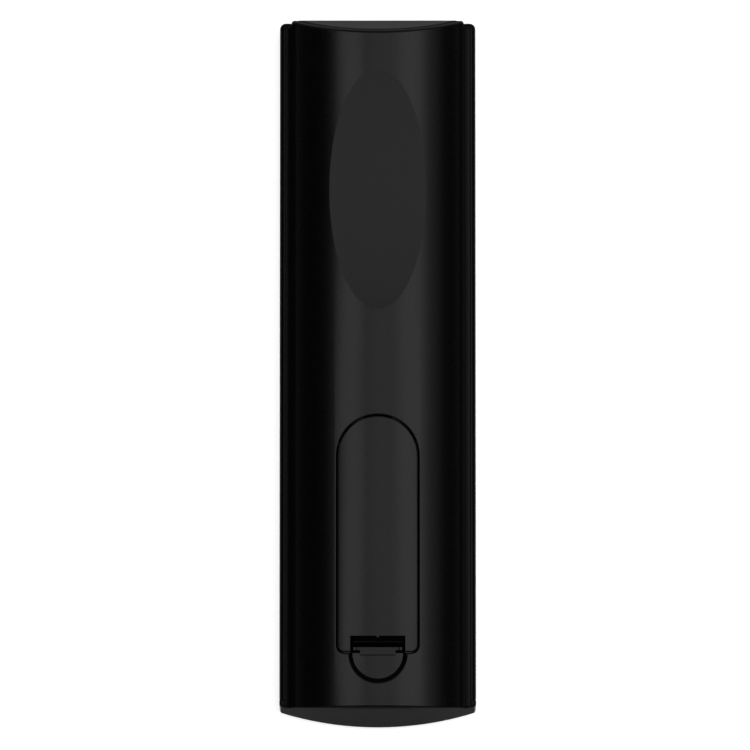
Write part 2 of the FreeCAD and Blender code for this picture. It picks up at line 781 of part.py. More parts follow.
def well_tools():
    """The door opening, the well, the latch pocket, the thumb recess and the slots, as cutting shapes."""
    high = "(thickness + overcut)"
    yield without("door_opening", door_arch("opening_arch", "0", WELL_FLOOR, high),
                  barrel("door_seat", SEAT_RADIUS))
    well = mirrored_box("well_room", WELL_HALF, (WELL_FOOT, WELL_FLOOR), (WELL_HEAD, high))
    yield shared("well", well, barrel("well_limit", f"{SEAT_RADIUS} + overlap"))
    latch_half = "(latch_width/2 + latch_side_gap)"
    yield mirrored_box("latch_shaft", latch_half, (OPENING_FOOT, POCKET_FLOOR), (POCKET_HEAD, high))
    under = mirrored_box("under_lip", latch_half, (f"{OPENING_FOOT} - latch_pocket", POCKET_FLOOR),
                         (POCKET_HEAD, high))
    yield shared("catch_room", under, barrel("lip_limit", LIP_RADIUS))
    slope = "recess_draft/recess_depth"
    bottom = "(thickness - 2*recess_depth)"
    cone = upright_cone("recess_cone", f"recess_radius - {slope}*(2*recess_depth)",
                        f"recess_radius + {slope}*overcut", OPENING_FOOT, bottom, high)
    yield without("thumb_recess", cone, barrel("recess_floor_limit", RECESS_RADIUS))
    room = mirrored_box("tongue_room", "(tongue_width/2 + tongue_side_gap)",
                        (f"{OPENING_HEAD} - tongue_swing", NOTCH_FLOOR),
                        (f"{OPENING_HEAD} + tongue_reach + tongue_side_gap", high))
    yield shared("tongue_notch", room, barrel("tongue_limit", HOLLOW_RADIUS))
    yield mirrored_box("deck_relief", WELL_HALF, (f"{WELL_HEAD} + wall", f"{WELL_BOTTOM} - overcut"),
                       (f"{OPENING_HEAD} + tongue_reach + tongue_side_gap",
                        f"{NOTCH_FLOOR} - deck_thickness"))
    slot_half = "(tail_width/2 + tail_gap)"
    for side, name in ((1, "left"), (-1, "right")):
        middle = f"{side}*{CELL_SIDE}"
        yield box(f"tail_slot_{name}",
                  (f"{middle} - {slot_half}", f"{WELL_HEAD} - contact_gap - contact_sheet - tail_gap",
                   f"{WELL_BOTTOM} - overcut"),
                  (f"{middle} + {slot_half}", WELL_HEAD, f"{WELL_FLOOR} + overlap"))


def ir_window():
    """Dark end piece in the barrel's head end: a cup whose sloped face is flush with the cover."""
    def cup(name, inset, start):
        x = f"({WINDOW_HALF} - {inset})"
        radius = f"({WINDOW_RADIUS} - {inset})"
        side = f"({AXIS_HEIGHT} + sqrt({radius}^2 - {x}^2))"
        bottom = f"(window_bottom + {inset})"
        return section(name, [
            (negative(x), bottom), (x, bottom), (x, side, radius, "left"), (negative(x), side),
        ], start, f"({HALF_LENGTH} + overcut)")

    start = f"({HALF_LENGTH} - window_depth)"
    face = without("window_outer", cup("window_section", "0", start), head_trim("window_face", "0"))
    inner = without("window_room", cup("window_room_section", "window_wall", f"({start} - overcut)"),
                    head_trim("window_back", "window_wall"))
    shell = without("window_shell", face, inner)
    finished("ir_window", shell)


# Battery door and its latch


def battery_door():
    """Arched door on the barrel's surface, with the hinge tongue and the inner arm of its latch."""
    skin = without("door_skin", barrel("door_outer", "barrel_radius"),
                   barrel("door_inner", "barrel_radius - door_thickness"))
    plate = shared("door_plate", skin, door_arch("door_arch", "door_gap", WELL_FLOOR, "thickness + overcut"))
    notch_half = "(latch_width/2 + latch_side_gap)"
    notch = mirrored_box("door_notch", notch_half, (f"{OPENING_FOOT} - overcut", POCKET_FLOOR),
                         (NOTCH_HEAD, "thickness + overcut"))
    point = [("-notch_mark", f"{NOTCH_HEAD} - overlap"), ("notch_mark", f"{NOTCH_HEAD} - overlap"),
             ("0", f"{NOTCH_HEAD} + notch_mark")]
    mark = plan("notch_mark_cut", lambda sketch: outline(sketch, point),
                "thickness - door_thickness - overlap", "thickness + overcut")
    open_plate = without("door_open_plate", plate, notch, mark)

    root_foot = f"({OPENING_HEAD} - door_gap - tongue_root)"
    arch_drop = f"({OPENING_HALF} - sqrt({OPENING_HALF}^2 - (tongue_width/2)^2))"
    root = mirrored_box("tongue_root_block", "tongue_width/2", (root_foot, TONGUE_UNDER),
                        (f"{OPENING_HEAD} - door_gap - {arch_drop}", "thickness - door_thickness + overlap"))
    tongue = mirrored_box("tongue", "tongue_width/2", (root_foot, TONGUE_UNDER),
                          (f"{OPENING_HEAD} + tongue_reach", TONGUE_TOP))
    arm = mirrored_box("latch_inner_arm", "latch_width/2", (NOTCH_HEAD, BEND_HEIGHT),
                       (f"{NOTCH_HEAD} + latch_sheet", "thickness"))
    arm_under = shared("inner_arm_under", arm, barrel("arm_limit", "barrel_radius - door_thickness + overlap"))
    bend = bend_half("door_bend", 1)
    finished("battery_door", joined("door_solid", open_plate, root, tongue, arm_under, bend))


def bend_half(name, side):
    """One half of the U-bend under the latch: 1 for the door's half, -1 for the tab's half."""
    centre, height = BEND_CENTRE, BEND_HEIGHT
    inner, split = "(latch_gap/2)", "(latch_split/2)"
    outer = BEND_OUTER
    drop_outer = f"sqrt({outer}^2 - {split}^2)"
    drop_inner = f"sqrt({inner}^2 - {split}^2)"
    turn = "left" if side == 1 else "right"
    back = "right" if side == 1 else "left"
    corners = [
        (f"{centre} + {side}*{split}", f"{height} - {drop_outer}", outer, turn),
        (f"{centre} + {side}*{outer}", height),
        (f"{centre} + {side}*{inner}", height, inner, back),
        (f"{centre} + {side}*{split}", f"{height} - {drop_inner}"),
    ]
    return profile(name, corners, "latch_width/2")


def door_latch():
    """Sprung outer arm of the latch, with its nose, its tab and the two small ears."""
    body = new_body("door_latch")
    centre, height = BEND_CENTRE, BEND_HEIGHT
    split, inner, outer = "(latch_split/2)", "(latch_gap/2)", BEND_OUTER
    drop_outer = f"sqrt({outer}^2 - {split}^2)"
    drop_inner = f"sqrt({inner}^2 - {split}^2)"
    sketch = sketch_on(body, "YZ", "arm_outline")
    outline(sketch, [
        (f"{centre} - {split}", f"{height} - {drop_inner}", inner, "right"),
        (ARM_INNER, height), (ARM_INNER, TAB_UNDER), (ARM_OUTER, TAB_UNDER),
        (ARM_OUTER, height, outer, "left"), (f"{centre} - {split}", f"{height} - {drop_outer}"),
    ])
    pad(body, sketch, "arm", "latch_width", "Symmetric")
    sketch = sketch_on(body, "YZ", "nose_outline")
    top = f"({LIP_UNDER} - nose_gap)"
    outline(sketch, [
        (f"{ARM_OUTER} + overlap", f"{top} - nose_height"), (f"{ARM_OUTER} + overlap", top),
        (f"{OPENING_FOOT} - nose_catch", top), (f"{OPENING_FOOT} - nose_catch", f"{top} - nose_catch"),
        (ARM_OUTER, f"{top} - nose_height"),
    ])
    pad(body, sketch, "nose", "nose_width", "Symmetric")
    sketch = sketch_on(body, "YZ", "tab_outline")
    tab_top = f"({TAB_UNDER} + tab_thickness)"
    rectangle(sketch, f"{OPENING_FOOT} - tab_reach", TAB_UNDER, ARM_INNER, tab_top)
    tab = pad(body, sketch, "tab", "tab_width", "Symmetric")
    foot = number(f"{OPENING_FOOT} - tab_reach")
    round_edges(body, tab, "tab_round", "tab_thickness/3", lambda point: near(point.y, foot))
    sketch = sketch_on(body, "XZ", "ear_outline", z=negative(f"{ARM_OUTER} + latch_sheet"))
    side = "(latch_width/2 - ear_radius)"
    small_disc(sketch, "ear_radius", side, TAB_UNDER)
    small_disc(sketch, "ear_radius", negative(side), TAB_UNDER)
    pad(body, sketch, "ears", "latch_sheet")


# Power supply


def cell(name, side, nub_to_head):
    """One AAA cell: a can with its raised positive nub."""
    body = new_body(name)
    sketch = sketch_on(body, "XZ", f"{name}_can_outline")
    disc(sketch, "cell_radius")
    pad(body, sketch, f"{name}_can", "cell_length - nub_length", backwards=True)
    sketch = sketch_on(body, "XZ", f"{name}_nub_outline", z="-(cell_length - nub_length - overlap)")
    disc(sketch, "nub_radius")
    pad(body, sketch, f"{name}_nub", "nub_length + overlap", backwards=True)
    foot = f"({WELL_FOOT} + contact_room)"
    if nub_to_head:
        place(body, f"{side}*{CELL_SIDE}", foot, CELL_HEIGHT)
    else:
        place(body, f"{side}*{CELL_SIDE}", f"{foot} + cell_length", CELL_HEIGHT,
              turn=rotation((0, 0, 1), 180))


def leaf_outline(sketch, wall_y, way):
    """Side view of a sheet contact: a back plate and a leaf that bulges towards the cell."""
    def at(depth, z):
        return f"{wall_y} + {way}*({depth})", z

    back, face = "contact_gap", "contact_gap + contact_sheet"
    low, high = f"{WELL_FLOOR} + contact_gap", f"{WELL_FLOOR} + contact_height"
    reach = "contact_room - contact_gap"
    corners = [
        at(back, low), at(back, high), at(f"{face} + contact_sheet", high), at(reach, CELL_HEIGHT),
        at(f"{face} + 2*contact_sheet", f"{CELL_HEIGHT} - leaf_drop"),
        at(f"{face} + 1.3*contact_sheet", f"{CELL_HEIGHT} - leaf_drop + contact_sheet"),
        at(f"{reach} - 1.1*contact_sheet", CELL_HEIGHT), at(face, f"{high} - 2*contact_sheet"),
        at(face, low),
    ]
    outline(sketch, corners)


def head_contact(name, side):
    """Sprung sheet contact at the well's head end, with its tail down to the board."""
    body = new_body(name)
    sketch = sketch_on(body, "YZ", f"{name}_leaf_outline")
    leaf_outline(sketch, WELL_HEAD, -1)
    pad(body, sketch, f"{name}_leaf", "contact_width", "Symmetric")
    sketch = sketch_on(body, "YZ", f"{name}_tail_outline")
    rectangle(sketch, f"{WELL_HEAD} - contact_gap - contact_sheet", BOARD_BACK,
              f"{WELL_HEAD} - contact_gap", f"{WELL_FLOOR} + contact_gap + overlap")
    pad(body, sketch, f"{name}_tail", "tail_width", "Symmetric")
    place(body, f"{side}*{CELL_SIDE}")


def foot_contact():
    """Contact at the well's foot end: two leaves on one back plate that joins the two cells."""
    body = new_body("contact_foot_bridge")
    for side, name in ((1, "left"), (-1, "right")):
        sketch = sketch_on(body, "YZ", f"bridge_leaf_{name}_outline", z=f"{side}*{CELL_SIDE}")
        leaf_outline(sketch, WELL_FOOT, 1)
        pad(body, sketch, f"bridge_leaf_{name}", "contact_width", "Symmetric")
    sketch = sketch_on(body, "YZ", "bridge_plate_outline")
    rectangle(sketch, f"{WELL_FOOT} + contact_gap", f"{WELL_FLOOR} + contact_gap",
              f"{WELL_FOOT} + contact_gap + contact_sheet", f"{WELL_FLOOR} + contact_height")
    pad(body, sketch, "bridge_plate", f"2*{CELL_SIDE} + contact_width", "Symmetric")


# Keys, face plate and mat


def key_rows():
    """List every key as (name, kind, x, y), seen from the back with X to the right."""
    def below_head(distance):
        return f"({HALF_LENGTH} - {distance})"

    rows = [("power", "power", "power_side", below_head("power_from_head")),
            ("source", "power", "-power_side", below_head("power_from_head"))]
    commands = [["rewind", "play", "forward"], ["record", "stop", "skip"]]
    for row, names in enumerate(commands):
        for name, column in zip(names, (1, 0, -1)):
            y = below_head(f"command_from_head - {row}*command_pitch")
            rows.append((name, "command", f"{column}*column_pitch", y))
    ring = below_head("ring_from_head")
    for name, across, along in (("menu", 1, 1), ("guide", -1, 1), ("back", 1, -1), ("info", -1, -1)):
        rows.append((name, "corner", f"{across}*corner_side", f"{ring} + {along}*corner_reach"))
    rows.append(("volume", "rocker", "rocker_side", below_head("rocker_from_head")))
    rows.append(("channel", "rocker", "-rocker_side", below_head("rocker_from_head")))
    rows.append(("mute", "middle", "0", below_head("mute_from_head")))
    rows.append(("home", "middle", "0", below_head("home_from_head")))
    digits = [["digit_1", "digit_2", "digit_3"], ["digit_4", "digit_5", "digit_6"],
              ["digit_7", "digit_8", "digit_9"], ["star", "digit_0", "hash"]]
    for row, names in enumerate(digits):
        for name, column in zip(names, (1, 0, -1)):
            y = below_head(f"digits_from_head - {row}*digit_pitch")
            rows.append((name, "digit", f"{column}*column_pitch", y))
    for name, column in zip(("red", "green", "yellow", "blue"), (1.5, 0.5, -0.5, -1.5)):
        rows.append((name, "colour", f"{column}*colour_pitch", below_head("colours_from_head")))
    return rows


RING_CENTRE = f"({HALF_LENGTH} - ring_from_head)"
ARROWS = (("right", 180), ("up", 90), ("left", 0), ("down", 270))


def key_name(name):
    """Return the node name of a key."""
    return f"key_{name}"


def rounded_key(name, kind, x, y):
    """Cap with rounded corners and a bevelled front, on the flange that keeps it in the plate."""
    body = new_body(key_name(name))
    width, length = f"{kind}_width", f"{kind}_length"
    under = f"({FLANGE_UNDER} + {ROCKER_LIFT})" if kind == "rocker" else FLANGE_UNDER
    sketch = sketch_on(body, "XY", f"{name}_cap_outline", z="key_top")
    rounded_rectangle(sketch, width, length, "key_round")
    cap = pad(body, sketch, f"{name}_cap", f"{under} - key_top")
    front = number("key_top")
    bevel_edges(body, cap, f"{name}_bevel", "key_bevel", lambda point: near(point.z, front))
    sketch = sketch_on(body, "XY", f"{name}_flange_outline", z=under)
    half_x, half_y = f"({width}/2 + key_flange)", f"({length}/2 + key_flange)"
    rectangle(sketch, negative(half_x), negative(half_y), half_x, half_y)
    pad(body, sketch, f"{name}_flange", "key_flange_thickness")
    place(body, x, y)


def ring_corners(inner, outer, split):
    """Quarter ring on the X side, its ends drawn in from the diagonals by half a split."""
    def end(radius, across):
        along = f"sqrt({radius}^2 - ({split}/2)^2)"
        return f"sqrt(0.5)*({along} + {split}/2)", f"{across}*sqrt(0.5)*({along} - {split}/2)"

    return [
        (*end(outer, -1), outer, "left"), end(outer, 1),
        (*end(inner, 1), inner, "right"), end(inner, -1),
    ]


def arrow_key(name, angle):
    """Quarter of the ring round the middle key."""
    body = new_body(key_name(name))
    sketch = sketch_on(body, "XY", f"{name}_cap_outline", z="key_top")
    outline(sketch, ring_corners("ring_inner", "ring_outer", "ring_split"))
    pad(body, sketch, f"{name}_cap", f"{FLANGE_TOP} - key_top")
    sketch = sketch_on(body, "XY", f"{name}_flange_outline", z=FLANGE_UNDER)
    outline(sketch, ring_corners("(ring_outer - overlap)", "(ring_outer + key_flange)", "ring_split"))
    pad(body, sketch, f"{name}_flange", "key_flange_thickness")
    place(body, "0", RING_CENTRE, turn=rotation((0, 0, 1), angle))


def ok_key():
    """Round key in the middle of the ring."""
    body = new_body(key_name("ok"))
    sketch = sketch_on(body, "XY", "ok_cap_outline", z="key_top")
    disc(sketch, "ok_radius")
    pad(body, sketch, "ok_cap", f"{FLANGE_TOP} - key_top")
    place(body, "0", RING_CENTRE)


def screw_places():
    """List the six board screws as (name, x, y)."""
    rows = (("head", "screw_head_from_head"), ("middle", "screw_middle_from_head"),
            ("foot", "screw_foot_from_head"))
    for row, distance in rows:
        for side, column in ((1, "left"), (-1, "right")):
            yield f"{row}_{column}", f"{side}*({BOARD_HALF} - boss_from_edge)", f"({HALF_LENGTH} - {distance})"


def faceplate():
    """Front plate in the tray's frame, with a hole for each key and bosses for the board's screws."""
    inset = f"({PLATE_EDGE} + plate_gap)"
    corners = sheet_outline(inset, f"({HEAD_FACE} - {inset})")
    plate = plan("plate", lambda sketch: outline(sketch, corners), "frame_lip", "front_wall")
    bosses, bores = [], []
    for name, x, y in screw_places():
        bosses.append(plan(f"boss_{name}", lambda sketch: small_disc(sketch, "boss_radius"),
                           "front_wall - overlap", BOARD_FRONT, x, y))
        bores.append(plan(f"bore_{name}", lambda sketch: small_disc(sketch, "boss_bore"),
                          "front_wall - frame_lip/2", f"{BOARD_FRONT} + overlap", x, y))
    holes = [plan(f"hole_{name}", key_hole(kind), "0", "front_wall + overlap", x, y)
             for name, kind, x, y in key_rows()]
    holes.append(upright_cylinder("hole_ring", "ring_outer + key_clearance", RING_CENTRE, "0",
                                  "front_wall + overlap"))
    holes.append(plan("hole_lens", lambda sketch: small_disc(sketch, "(lens_radius + lens_clearance)"),
                      "0", "front_wall + overlap", "0", LENS_Y))
    finished("faceplate", without("holed_plate", joined("bossed_plate", plate, *bosses), *holes, *bores))


def key_hole(kind):
    """Return what draws the hole of a kind of key: its outline and a clearance all round."""
    def draw(sketch):
        rounded_rectangle(sketch, f"({kind}_width + 2*key_clearance)",
                          f"({kind}_length + 2*key_clearance)", "(key_round + key_clearance)")

    return draw


LENS_Y = f"({HALF_LENGTH} - lens_from_head)"
MAT_HALF = f"({BOARD_HALF} - mat_side_gap)"
MAT_HEAD = f"({HALF_LENGTH} - power_from_head + power_length/2 + mat_margin/2)"
MAT_FOOT = f"({HALF_LENGTH} - colours_from_head - colour_length/2 - mat_margin)"


def keypad_mat():
    """Rubber mat over the board, with a raised pad behind each key."""
    pieces = [mirrored_box("web", MAT_HALF, (MAT_FOOT, WEB_FRONT), (MAT_HEAD, BOARD_FRONT))]
    inside = f"({WEB_FRONT} + overlap)"
    for name, kind, x, y in key_rows():
        top = f"({PAD_TOP} + {ROCKER_LIFT})" if kind == "rocker" else PAD_TOP
        half_x, half_y = f"({kind}_width/2 - pad_inset)", f"({kind}_length/2 - pad_inset)"
        pieces.append(box(f"pad_{name}", (f"{x} - {half_x}", f"{y} - {half_y}", top),
                          (f"{x} + {half_x}", f"{y} + {half_y}", inside)))
    pieces.append(upright_cylinder("pad_ok", "ok_radius - pad_inset", RING_CENTRE, PAD_TOP, inside))
    for name, across, along in (("left", 1, 0), ("right", -1, 0), ("up", 0, 1), ("down", 0, -1)):
        middle = "(ring_inner + ring_outer)/2"
        x, y = f"{across}*{middle}", f"{RING_CENTRE} + {along}*{middle}"
        pieces.append(box(f"pad_{name}", (f"{x} - pad_inset", f"{y} - pad_inset", PAD_TOP),
                          (f"{x} + pad_inset", f"{y} + pad_inset", inside)))
    holes = [plan(f"mat_hole_{name}", lambda sketch: small_disc(sketch, "(boss_radius + boss_clearance)"),
                  WEB_FRONT, f"{BOARD_FRONT} + overlap", x, y)
             for name, x, y in screw_places() if number(MAT_FOOT) < number(y) < number(MAT_HEAD)]
    finished("keypad_mat", without("holed_mat", joined("padded_mat", *pieces), *holes))


# Board and what it carries


def circuit_board():
    """Board over the mat, with a hole for each screw."""
    body = new_body("circuit_board")
    sketch = sketch_on(body, "XY", "board_outline", z=BOARD_FRONT)
    rectangle(sketch, negative(BOARD_HALF), f"-{HALF_LENGTH} + board_foot_gap", BOARD_HALF,
              f"{HALF_LENGTH} - board_head_gap")
    pad(body, sketch, "board", "board_thickness")
    sketch = sketch_on(body, "XY", "board_holes_outline", z=BOARD_BACK)
    for name, x, y in screw_places():
        small_disc(sketch, "(boss_bore + screw_fit)", x, y)
    pocket(body, sketch, "board_holes", "board_thickness + overlap")


def board_screws():
    """Six small pan-head screws that hold the board on the face plate's bosses."""
    body = new_body("board_screws")
    for name, x, y in screw_places():
        sketch = sketch_on(body, "XY", f"screw_head_{name}_outline", x, y, BOARD_BACK)
        small_disc(sketch, "screw_head_radius")
        pad(body, sketch, f"screw_head_{name}", "screw_head_height")
        sketch = sketch_on(body, "XY", f"screw_shank_{name}_outline", x, y, BOARD_BACK)
        small_disc(sketch, "(boss_bore - screw_fit)")
        pad(body, sketch, f"screw_shank_{name}", "screw_length", backwards=True)


def microcontroller():
    """Small-outline chip on the back of the board, with seven leads a side."""
    body = new_body("microcontroller")
    sketch = sketch_on(body, "XY", "chip_outline", z=f"{BOARD_BACK} + lead_width/2")
    rectangle(sketch, "-chip_width/2", "-chip_length/2", "chip_width/2", "chip_length/2")
    pad(body, sketch, "chip", "chip_height")
    sketch = sketch_on(body, "XY", "lead_outline", z=BOARD_BACK)
    reach = "(chip_width/2 + lead_reach)"
    rectangle(sketch, negative(reach), "-3*lead_pitch - lead_width/2", reach,
              "-3*lead_pitch + lead_width/2")
    leads = pad(body, sketch, "leads", "lead_width")
    pattern = body.newObject("PartDesign::LinearPattern", "lead_rows")
    pattern.Originals = [leads]
    axis = next(f for f in body.Origin.OriginFeatures if f.Role == "Y_Axis")
    pattern.Direction = (axis, [""])
    bind(pattern, "Length", "6*lead_pitch")
    pattern.Occurrences = 7
    body.Tip = pattern
    place(body, "0", RING_CENTRE)


def crystal():
    """Metal can of the timing crystal, lying on the board."""
    body = new_body("crystal")
    sketch = sketch_on(body, "XY", "crystal_outline", z=BOARD_BACK)
    rounded_rectangle(sketch, "crystal_width", "crystal_length", "(crystal_length/2.2)")
    pad(body, sketch, "crystal_can", "crystal_height")
    place(body, "0", f"{RING_CENTRE} + chip_length")


def capacitor():
    """Round can beside the chip, with a bevelled top edge."""
    body = new_body("capacitor")
    sketch = sketch_on(body, "XY", "capacitor_outline", z=BOARD_BACK)
    disc(sketch, "capacitor_radius")
    can = pad(body, sketch, "capacitor_can", "capacitor_height")
    top = number(f"{BOARD_BACK} + capacitor_height")
    bevel_edges(body, can, "capacitor_edge", "capacitor_bevel", lambda point: near(point.z, top))
    place(body, "chip_width + lead_reach + capacitor_radius", RING_CENTRE)


def chip_parts():
    """Small surface-mounted parts round the chip, one group."""
    body = new_body("chip_parts")
    places = (("-2*chip_width", "0"), ("-2*chip_width", "chip_length/2"), ("-chip_width", "-chip_length"),
              ("0", "-chip_length"), ("chip_width", "-chip_length"), ("-2*chip_width", "-chip_length/2"))
    for index, (x, y) in enumerate(places):
        sketch = sketch_on(body, "XY", f"chip_part_{index}_outline", x, y, BOARD_BACK)
        rectangle(sketch, "-lead_pitch", "-lead_pitch/2", "lead_pitch", "lead_pitch/2")
        pad(body, sketch, f"chip_part_{index}", "lead_pitch/2")
    place(body, "0", RING_CENTRE)


def ir_led():
    """Infrared emitter behind the window: a domed lens on a flange, with its two bent leads."""
    body = new_body("ir_led")
    back = f"({HALF_LENGTH} - led_from_head - led_length - led_radius)"
    height = f"({BOARD_BACK} + led_lift)"
    sketch = sketch_on(body, "XZ", "led_flange_outline", y=height, z=negative(back))
    small_disc(sketch, "(led_radius + led_flange)")
    pad(body, sketch, "led_flange", "2*led_flange", backwards=True)
    sketch = sketch_on(body, "XZ", "led_lens_outline", y=height, z=negative(back))
    small_disc(sketch, "led_radius")
    lens = pad(body, sketch, "led_lens", "led_length + led_radius", backwards=True)
    tip = number(f"{back} + led_length + led_radius")
    bevel_edges(body, lens, "led_dome", "led_radius/2", lambda point: near(point.y, tip))
    sketch = sketch_on(body, "YZ", "led_lead_outline")
    rear = f"({back} - led_lift)"
    outline(sketch, [
        (rear, BOARD_BACK), (f"{rear} + led_lead", BOARD_BACK),
        (f"{rear} + led_lead", f"{height} - led_lead/2"), (f"{back} + overlap", f"{height} - led_lead/2"),
        (f"{back} + overlap", f"{height} + led_lead/2"), (rear, f"{height} + led_lead/2"),
    ])
    leads = pad(body, sketch, "led_leads", "led_lead_pitch + led_lead", "Symmetric")
    sketch = sketch_on(body, "XY", "led_lead_gap_outline", z=BOARD_BACK)
    half = "((led_lead_pitch - led_lead)/2)"
    rectangle(sketch, negative(half), f"{rear} - overlap", half, back)
    pocket(body, sketch, "led_lead_gap", "led_lift + led_lead", backwards=True)
    place(body)


def indicator():
    """Small lamp on the front of the board and the lens that carries its light to the front."""
    body = new_body("indicator_led")
    sketch = sketch_on(body, "XY", "lamp_outline", z=f"{BOARD_FRONT} - indicator_height")
    half = "(indicator_size/2)"
    rectangle(sketch, negative(half), negative(half), half, half)
    pad(body, sketch, "lamp", "indicator_height")
    place(body, "0", LENS_Y)
    body = new_body("indicator_lens")
    sketch = sketch_on(body, "XY", "lens_outline", z="frame_lip")
    small_disc(sketch, "lens_radius")
    pad(body, sketch, "lens", "front_wall - frame_lip + key_flange_thickness")
    sketch = sketch_on(body, "XY", "lens_flange_outline", z="front_wall")
    small_disc(sketch, "(lens_radius + lens_flange)")
    pad(body, sketch, "lens_rim", "key_flange_thickness")
    place(body, "0", LENS_Y)


def build():
    """Make every piece of the remote."""
    fill_sheet()
    front_cover()
    faceplate()
    for name, kind, x, y in key_rows():
        rounded_key(name, kind, x, y)
    for name, angle in ARROWS:
        arrow_key(name, angle)
    ok_key()
    keypad_mat()
    circuit_board()
    board_screws()
    microcontroller()
    crystal()
    capacitor()
    chip_parts()
    ir_led()
    indicator()
    ir_window()
    rear_cover()
    cell("battery_cell_left", 1, True)
    cell("battery_cell_right", -1, False)
    head_contact("contact_head_positive", 1)
    head_contact("contact_head_negative", -1)
    foot_contact()
    battery_door()
    door_latch()
    DOC.recompute()


def check():
    """Stop if a feature failed or a piece has no sound solid."""
    for thing in DOC.Objects:
        if {"Invalid", "Error"} & set(thing.State):
            raise RuntimeError(f"{thing.Name} failed: {thing.State}")
    for name, piece in PARTS.items():
        if piece.Shape.isNull() or not piece.Shape.isValid() or not piece.Shape.Solids:
            raise RuntimeError(f"{name} has no sound solid")


def export():
    """Write each piece to its own file."""
    os.makedirs("parts", exist_ok=True)
    for name, piece in PARTS.items():
        piece.Shape.exportStep(f"parts/{name}.step")
        print(f"{name}: {len(piece.Shape.Solids)} solids, {piece.Shape.Volume:.1f} mm3")


build()
check()
export()
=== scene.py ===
"""Looks of the handheld remote control, seen from behind on a white floor.

Lengths are in metres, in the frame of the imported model: X across, Y towards the head end, Z up.
"""

import json
import math

import bpy
import bmesh
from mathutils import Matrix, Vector

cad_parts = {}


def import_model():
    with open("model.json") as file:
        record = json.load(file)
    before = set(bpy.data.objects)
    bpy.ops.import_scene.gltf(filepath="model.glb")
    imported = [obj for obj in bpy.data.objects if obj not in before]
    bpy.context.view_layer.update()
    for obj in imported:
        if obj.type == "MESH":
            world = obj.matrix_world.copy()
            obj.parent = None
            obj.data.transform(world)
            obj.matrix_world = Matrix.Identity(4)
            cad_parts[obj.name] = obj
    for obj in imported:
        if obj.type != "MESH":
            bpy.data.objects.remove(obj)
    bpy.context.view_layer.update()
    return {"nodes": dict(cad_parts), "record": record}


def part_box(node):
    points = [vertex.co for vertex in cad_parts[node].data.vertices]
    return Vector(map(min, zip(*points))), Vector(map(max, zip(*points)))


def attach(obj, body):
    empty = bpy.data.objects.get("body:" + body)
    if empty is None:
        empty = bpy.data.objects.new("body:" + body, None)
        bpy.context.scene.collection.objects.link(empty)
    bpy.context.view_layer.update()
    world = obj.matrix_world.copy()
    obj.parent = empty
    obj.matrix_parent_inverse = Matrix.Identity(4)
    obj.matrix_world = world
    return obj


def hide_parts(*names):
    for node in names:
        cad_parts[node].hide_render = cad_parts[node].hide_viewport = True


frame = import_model()
NODES = frame["nodes"]
MM = 0.001

# Camera, in the photograph's frame of 750 by 750 pixels
FRAME_PIXELS = 750
PIXEL = 0.2721 * MM
LENS = 212.6
SENSOR = 36.0
CAMERA_DISTANCE = 1.2
CAMERA_TILT = math.radians(87.3)
CENTRE_PIXEL = (377.7, 373.1)
AIM_HEIGHT = 10.8 * MM

# Studio
FLOOR_HALF = 3.0
FLOOR_DROP = 0.05 * MM
FLOOR_COLOR = (0.8, 0.8, 0.8, 1)
FLOOR_ROUGHNESS = 0.9
FLOOR_GLOW = 0.5
WHITE = (1, 1, 1, 1)
WORLD_LIGHT = 0.02
WORLD_GLOSS = 0.7
LAMP_DISTANCE = 1.1
LAMP_LENGTH = 0.94
LAMP_SHIFT = 0.1

# Where the surroundings turn from dark to white in gloss: the share of a direction that runs along the
# remote, and the share that runs up
SCREEN_EDGE = (0.35, 0.6)
SKY_EDGE = (0.75, 0.5)

# Each lamp's name, angle from straight above in degrees, width and power in watts
LAMPS = (("lamp_left", -25.5, 0.49, 5.7), ("lamp_middle", 3, 0.47, 3.9), ("lamp_right", 31, 0.54, 6.5),
         ("lamp_far", 52, 0.3, 0.9))

# Fine texture of the moulded plastic
GRAIN_SIZE = 0.3 * MM
GRAIN_DEPTH = 0.05 * MM

# The remote's driving sizes
HALF_LENGTH = 96.0 * MM
HALF_WIDTH = 26.6 * MM
THICKNESS = 20.6 * MM
WALL = 1.5 * MM
RIM = 1.36 * MM
SEAM = 0.2 * MM
LEDGE_WIDTH = 1.6 * MM
BARREL_RADIUS = 33.0 * MM
BARREL_AXIS = THICKNESS - BARREL_RADIUS
LEDGE_HALF = HALF_WIDTH - RIM - SEAM
BARREL_HALF = LEDGE_HALF - LEDGE_WIDTH
HEAD_SLOPE = 0.405
HEAD_LIMIT = HALF_LENGTH - 0.7 * MM - RIM - SEAM
FOOT_RADIUS = 89.5 * MM
FOOT_AXIS = FOOT_RADIUS - HALF_LENGTH
FOOT_SLOPE = 0.33
FOOT_SHARES = (0, 0.3, 0.6, 0.85)
CORNER_STEEPER = 0.08
FOOT_BLOCK = 7.5 * MM - HALF_LENGTH
BLOCK_BOTTOM = 3.2 * MM
END_ROUND = 1.2 * MM
CORNER_END_ROUND = 0.7 * MM
HEAD_ROUND = 1.0 * MM
BLOCK_ROUND = 0.9 * MM
CORNER_ROUND = 0.6 * MM
LEDGE_SWEEP = 8.0 * MM
LEDGE_LEAN = math.radians(16)
SCOOP_HALF_WIDTH = 13.05 * MM
SCOOP_HALF_LENGTH = 32.35 * MM
SCOOP_Y = HALF_LENGTH - 46.8 * MM
OPENING_FOOT = 20.4 * MM - HALF_LENGTH
OPENING_HALF = 11.15 * MM
OPENING_HEAD = -11.6 * MM
DOOR_CORNER = 2.2 * MM
DOOR_GAP = 0.3 * MM
DOOR_EDGE = 0.4 * MM
SEAT_RADIUS = BARREL_RADIUS - 1.65 * MM
WELL_HALF = 10.8 * MM
WELL_FOOT = -69.1 * MM
WELL_HEAD = -18.6 * MM
